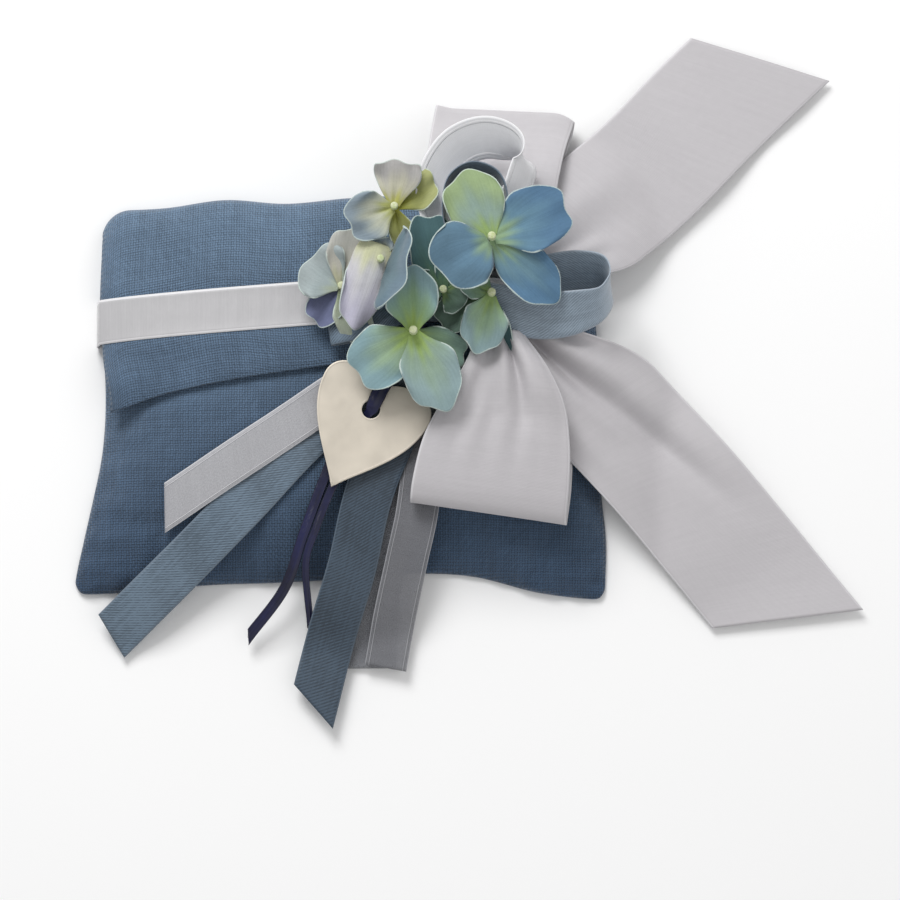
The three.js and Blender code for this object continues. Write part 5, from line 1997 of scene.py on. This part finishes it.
TAILS = [
    LaidRibbon("organza_tail", "organza", "sheer_ribbon", 0.020, 0, start=TAIL_START, reach=0.106, course=(
        (0, 0), (-0.06, -0.22), (-0.115, -0.5), (-0.16, -0.77), (-0.17, -0.9), (-0.17, -0.98))),
    LaidRibbon("blue_tail_left", layer=1, start=TAIL_START, reach=0.136, slant=-0.22, seed=2.0, course=(
        (0, 0), (-0.13, -0.12), (-0.28, -0.26), (-0.42, -0.41), (-0.57, -0.56), (-0.716, -0.7)), **BLUE),
    # The left sheer tail takes the copy with painted sheen, and the right sheer tail takes the copy with
    # painted shade.
    LaidRibbon("sheer_tail_left", "sheer_painted_sheen", layer=2, reach=0.097, slant=-0.64, seed=3.0, course=(
        (0, 0), (-0.15, -0.12), (-0.34, -0.25), (-0.58, -0.41), (-0.856, -0.594)), **SHEER),
    LaidRibbon("sheer_tail_right", "sheer_painted_shade", layer=3, reach=0.104, seed=4.0, course=(
        (0, 0), (0.01, -0.25), (-0.015, -0.54), (-0.045, -0.68), (-0.085, -0.86), (-0.11, -1)), **SHEER),
    LaidRibbon("blue_tail_centre", layer=4, start=TAIL_START, reach=0.122, slant=-0.7, seed=5.0, course=(
        (0, 0), (-0.05, -0.2), (-0.135, -0.42), (-0.18, -0.61), (-0.23, -0.77), (-0.286, -0.993)),
        **BLUE_PAINTED_SHADE),
    LaidRibbon("bow_tail_upper", layer=1, start=BOW_KNOT.place, reach=0.116, neck=0.3, slant=0.54, seed=6.0,
        creases=((0.62, -0.0014, 0.16, 0.5, 0), (0.3, 0.001, 0.12, 0.5, 0.2)), course=(
        (0.06, 0.05), (0.155, 0.135), (0.326, 0.279), (0.454, 0.397), (0.586, 0.536), (0.797, 0.741)), **BOW),
    LaidRibbon("bow_tail_lower", layer=1, start=BOW_KNOT.place, reach=0.134, neck=0.3, slant=-0.62, seed=7.0,
        creases=((0.62, -0.003, 0.09, 0.75, -0.55), (0.36, 0.0022, 0.12, 0.7, -0.4),
                 (0.8, 0.0018, 0.1, 0.6, 0)), course=(
        (0.05, -0.05), (0.164, -0.15), (0.28, -0.26), (0.43, -0.42), (0.568, -0.583), (0.745, -0.803)),
        **BOW),
]
LOOPS = [
    FoldedLoop("bow_loop_upper", layer=2, knot=BOW_KNOT.place, heading=85, splay=2, reach=0.0615, rise=0.0055,
        tilt=-0.03, corner=0.0026, right_shares=(0.1, 0.33, 0.5, 0.56, 0.58, 0.57, 0.555),
        left_shares=(0.1, 0.2, 0.35, 0.43, 0.46, 0.49, 0.53), **BOW),
    FoldedLoop("bow_loop_lower", layer=4, knot=BOW_KNOT.place, heading=-90, splay=-2, reach=0.067, rise=0.009,
        seed=2.0, tilt=0.1, right_shares=(0.075, 0.255, 0.45, 0.58, 0.62, 0.615, 0.585),
        left_shares=(0.06, 0.09, 0.195, 0.36, 0.495, 0.57, 0.615), creases=(
        (0.44, -0.003, 0.06, 0.7, -0.2), (0.18, 0.0008, 0.1, 0.8, 0), (0.66, 0.0004, 0.12, 0.7, 0)), **BOW),
    FoldedLoop("blue_loop_left", layer=3, knot=BLUE_KNOT.place, heading=190, reach=0.033, rise=0.004,
        foot=0.24, seed=3.0, **BLUE),
    FreeLoop("blue_loop_right", start=BOW_KNOT.place, reach=0.036, course=(
        (-0.06, -0.09, 0.3), (0.2, -0.14, 0.3), (0.44, -0.18, 0.3), (0.74, -0.15, 0.33), (0.95, -0.07, 0.29),
        (1.03, 0.08, 0.24), (0.96, 0.2, 0.2), (0.76, 0.23, 0.19), (0.5, 0.19, 0.19), (0.16, 0.1, 0.19)),
        lean=(
        (0, 0.93, 0.37), (0.05, 0.9, 0.42), (-0.1, 0.5, 0.86), (0, 0.7, 0.7), (0, 0.8, 0.6)), **BLUE_PAINTED_SHEEN),
    FreeLoop("blue_loop_upper", start=BLUE_KNOT.place, reach=0.044, course=(
        (0.17, 0.25, 0.3), (0.08, 0.56, 0.3), (0.13, 0.8, 0.3), (0.27, 0.89, 0.3), (0.43, 0.84, 0.3),
        (0.5, 0.7, 0.3), (0.48, 0.52, 0.3)), lean=((-0.1, 0.3, 0.95), (0, 0.35, 0.94), (0.1, 0.3, 0.95)),
        **BLUE),
]
RING = FreeLoop("hanging_ring", "ring_satin", "white_satin", 0.015, start=BOW_KNOT.place, reach=0.05, course=(
    (-0.2, 0.3, 0.2), (-0.33, 0.66, 0.25), (-0.22, 0.9, 0.25), (-0.04, 0.98, 0.25), (0.12, 0.94, 0.25),
    (0.21, 0.84, 0.25), (0.18, 0.7, 0.26), (0.11, 0.5, 0.25), (0.06, 0.26, 0.2)), lean=(
    (-0.95, 0.0, 0.25), (-0.5, 0.65, 0.6), (-0.3, 0.75, 0.65), (-0.5, 0.2, 0.85), (-0.62, 0.0, 0.78)))
BIG_PIP = {"pip_radius": 0.0027, "pip_height": 0.006}
FLORETS = [
    Floret(1, "petal_blue", (0.283, 0.356, 1), 50, (
        Petal(116, 0.86, 1.0, 8, Tint.APPLE, cup=0.1), Petal(25, 1, 1.08, 4, Tint.BLUE, cup=0.08, curl=-0.16),
        Petal(-42, 1.08, 0.86, -6, Tint.SEA, cup=0.1),
        Petal(218, 0.84, 1.16, 50, Tint.DUSK, -6, 0.05, -0.35, start=0.001)), **BIG_PIP),
    Floret(2, "petal_green", (0.133, 0.127, 0.8), 255, (
        Petal(92, 0.78, 0.88, 16, Tint.MOSS, cup=0.36), Petal(216, 0.86, 1.02, -4, Tint.AQUA, cup=0.1),
        Petal(-67, 1.0, 0.96, 7, Tint.MINT, cup=0.3, curl=-0.16),
        Petal(-24, 0.72, 0.62, -12, Tint.FERN, cup=-0.1, sink=0.0008)), **BIG_PIP),
    Floret(3, "petal_teal", (0.283, 0.226, 0.7), 0, (
        Petal(256, 0.74, 0.76, 12, Tint.LAGOON, -8), Petal(206, 0.74, 0.7, -6, Tint.LEAF, 10, sink=0.0009),
        Petal(283, 0.86, 0.36, -20, Tint.POND_PAINTED_SHADE), Petal(150, 0.4, 0.5, 10, Tint.FERN)),
        pip_radius=0.0025, pip_height=0.0052),
    Floret(4, "petal_white", (0.096, 0.443, 0.73), 105, (
        Petal(84, 0.56, 0.78, 24, Tint.PEARL, cup=-0.1, blunt=0.12),
        Petal(203, 0.62, 0.84, 20, Tint.CREAM, -16),
        Petal(38, 0.6, 0.66, 4, Tint.OLIVE, 12, sink=0.0006),
        Petal(-74, 0.56, 0.42, -14, Tint.OLIVE, cup=0.3, sink=0.0006))),
    Floret(5, "petal_white", (0.07, 0.312, 0.69), 150, (
        Petal(254, 1.06, 0.72, 8, Tint.LILAC, -14, -0.3, -0.2, start=-0.005, shift=0.002, crease=0.0002,
              side_shares=(0.76, 0.9, 1, 1, 1, 0.97, 0.94)),
        Petal(-18, 0.8, 1.46, 74, Tint.SLATE, 0, 0.12, shift=0.0032, start=0.0015, sink=0.0005),
        Petal(100, 0.26, 0.5, 10, Tint.CREAM, sink=0.002), Petal(165, 0.3, 0.5, 0, Tint.SAND, sink=0.002))),
    Floret(6, "petal_green", (-0.006, 0.252, 0.45), 203, (
        Petal(143, 0.52, 1.0, 4, Tint.MIST, cup=0.26), Petal(78, 0.72, 0.7, 10, Tint.SAND, cup=0.2),
        Petal(232, 0.54, 0.62, -6, Tint.VIOLET, sink=0.0006),
        Petal(290, 0.72, 0.6, -4, Tint.SAGE, cup=0.25, sink=0.0006))),
    Floret(7, "petal_teal", (0.19, 0.235, 0.7), 0, (
        Petal(104, 0.95, 0.8, 4, Tint.POND_PAINTED_SHADE, cup=0.34), Petal(70, 0.6, 0.6, 0, Tint.POND_PAINTED_SHADE),
        Petal(180, 0.4, 0.7, -6, Tint.POND_PAINTED_SHADE), Petal(-30, 0.3, 0.6, 0, Tint.LEAF)), stem_reach=0.0),
]


@dataclass
class Studio:
    """The camera, the pale floor and the soft lights."""

    target: tuple = (0.0325, -0.01625, 0.0)
    elevation: float = 82.0
    distance: float = 2.0
    lens: float = 257.3
    sensor: float = 36.0
    floor_size: float = 8.0
    floor_drop: float = 0.0002
    floor_rough: float = 0.9
    floor_tone: tuple = (250, 250, 250)
    sky: float = 0.5
    lamps: tuple = (((-0.3, 0.85, 0.9), 0.6, 12.0), ((0.6, -0.6, 1.0), 1.4, 2.0))

    def place_camera(self) -> None:
        """Makes the camera at the photograph's angle."""
        tilt = math.radians(self.elevation)
        camera = bpy.data.objects.new("camera", bpy.data.cameras.new("camera"))
        camera.data.lens, camera.data.sensor_width = self.lens, self.sensor
        camera.data.sensor_fit = "HORIZONTAL"
        camera.location = Vector(self.target) + self.distance * Vector((0, -math.cos(tilt), math.sin(tilt)))
        camera.rotation_euler.x = math.pi / 2 - tilt
        bpy.context.collection.objects.link(camera)
        bpy.context.scene.camera = camera

    def light(self) -> None:
        """Makes the floor, the lamps and the even light from all round."""
        clear_selection()
        bpy.ops.mesh.primitive_plane_add(size=self.floor_size, location=(0, 0, -self.floor_drop))
        floor = bpy.context.object
        floor.name = "floor"
        recipe = Recipe("floor", Roughness=self.floor_rough)
        recipe.shader.inputs["Base Color"].default_value = screen(*self.floor_tone)
        floor.data.materials.append(recipe.material)
        for index, (place, size, power) in enumerate(self.lamps):
            lamp = bpy.data.lights.new(f"lamp_{index}", "AREA")
            lamp.size, lamp.energy = size, power
            made = bpy.data.objects.new(lamp.name, lamp)
            made.location = place
            made.rotation_euler = (Vector(self.target) - made.location).to_track_quat("-Z", "Y").to_euler()
            bpy.context.collection.objects.link(made)
        world = bpy.data.worlds.new("studio")
        world.use_nodes = True
        for key, value in (("Strength", self.sky), ("Color", (1, 1, 1, 1))):
            world.node_tree.nodes["Background"].inputs[key].default_value = value
        bpy.context.scene.world = world
        bpy.context.scene.view_settings.view_transform = "Standard"


def main() -> None:
    """Builds the sachet around its frame, piece by piece."""
    logging.basicConfig(level=logging.INFO, format="%(message)s")
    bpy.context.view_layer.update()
    studio = Studio()
    studio.place_camera()
    shop = Workshop()
    charm = HeartCharm()
    for ribbon in NAVY:
        ribbon.build(shop, charm)
    Pouch().build(shop)
    ScentBag().build(shop)
    Flap().build(shop)
    Band().build(shop)
    for ribbon in (*TAILS, *LOOPS, RING):
        ribbon.build(shop)
    BOW_KNOT.build(shop)
    BLUE_KNOT.build(shop)
    charm.build(shop)
    bouquet = Bouquet(BLUE_KNOT)
    bouquet.build(shop)
    for floret in FLORETS:
        floret.build(shop, bouquet)
    studio.light()
    LOG.info("%d pieces dressed", shop.count)


if __name__ == "__main__":
    main()
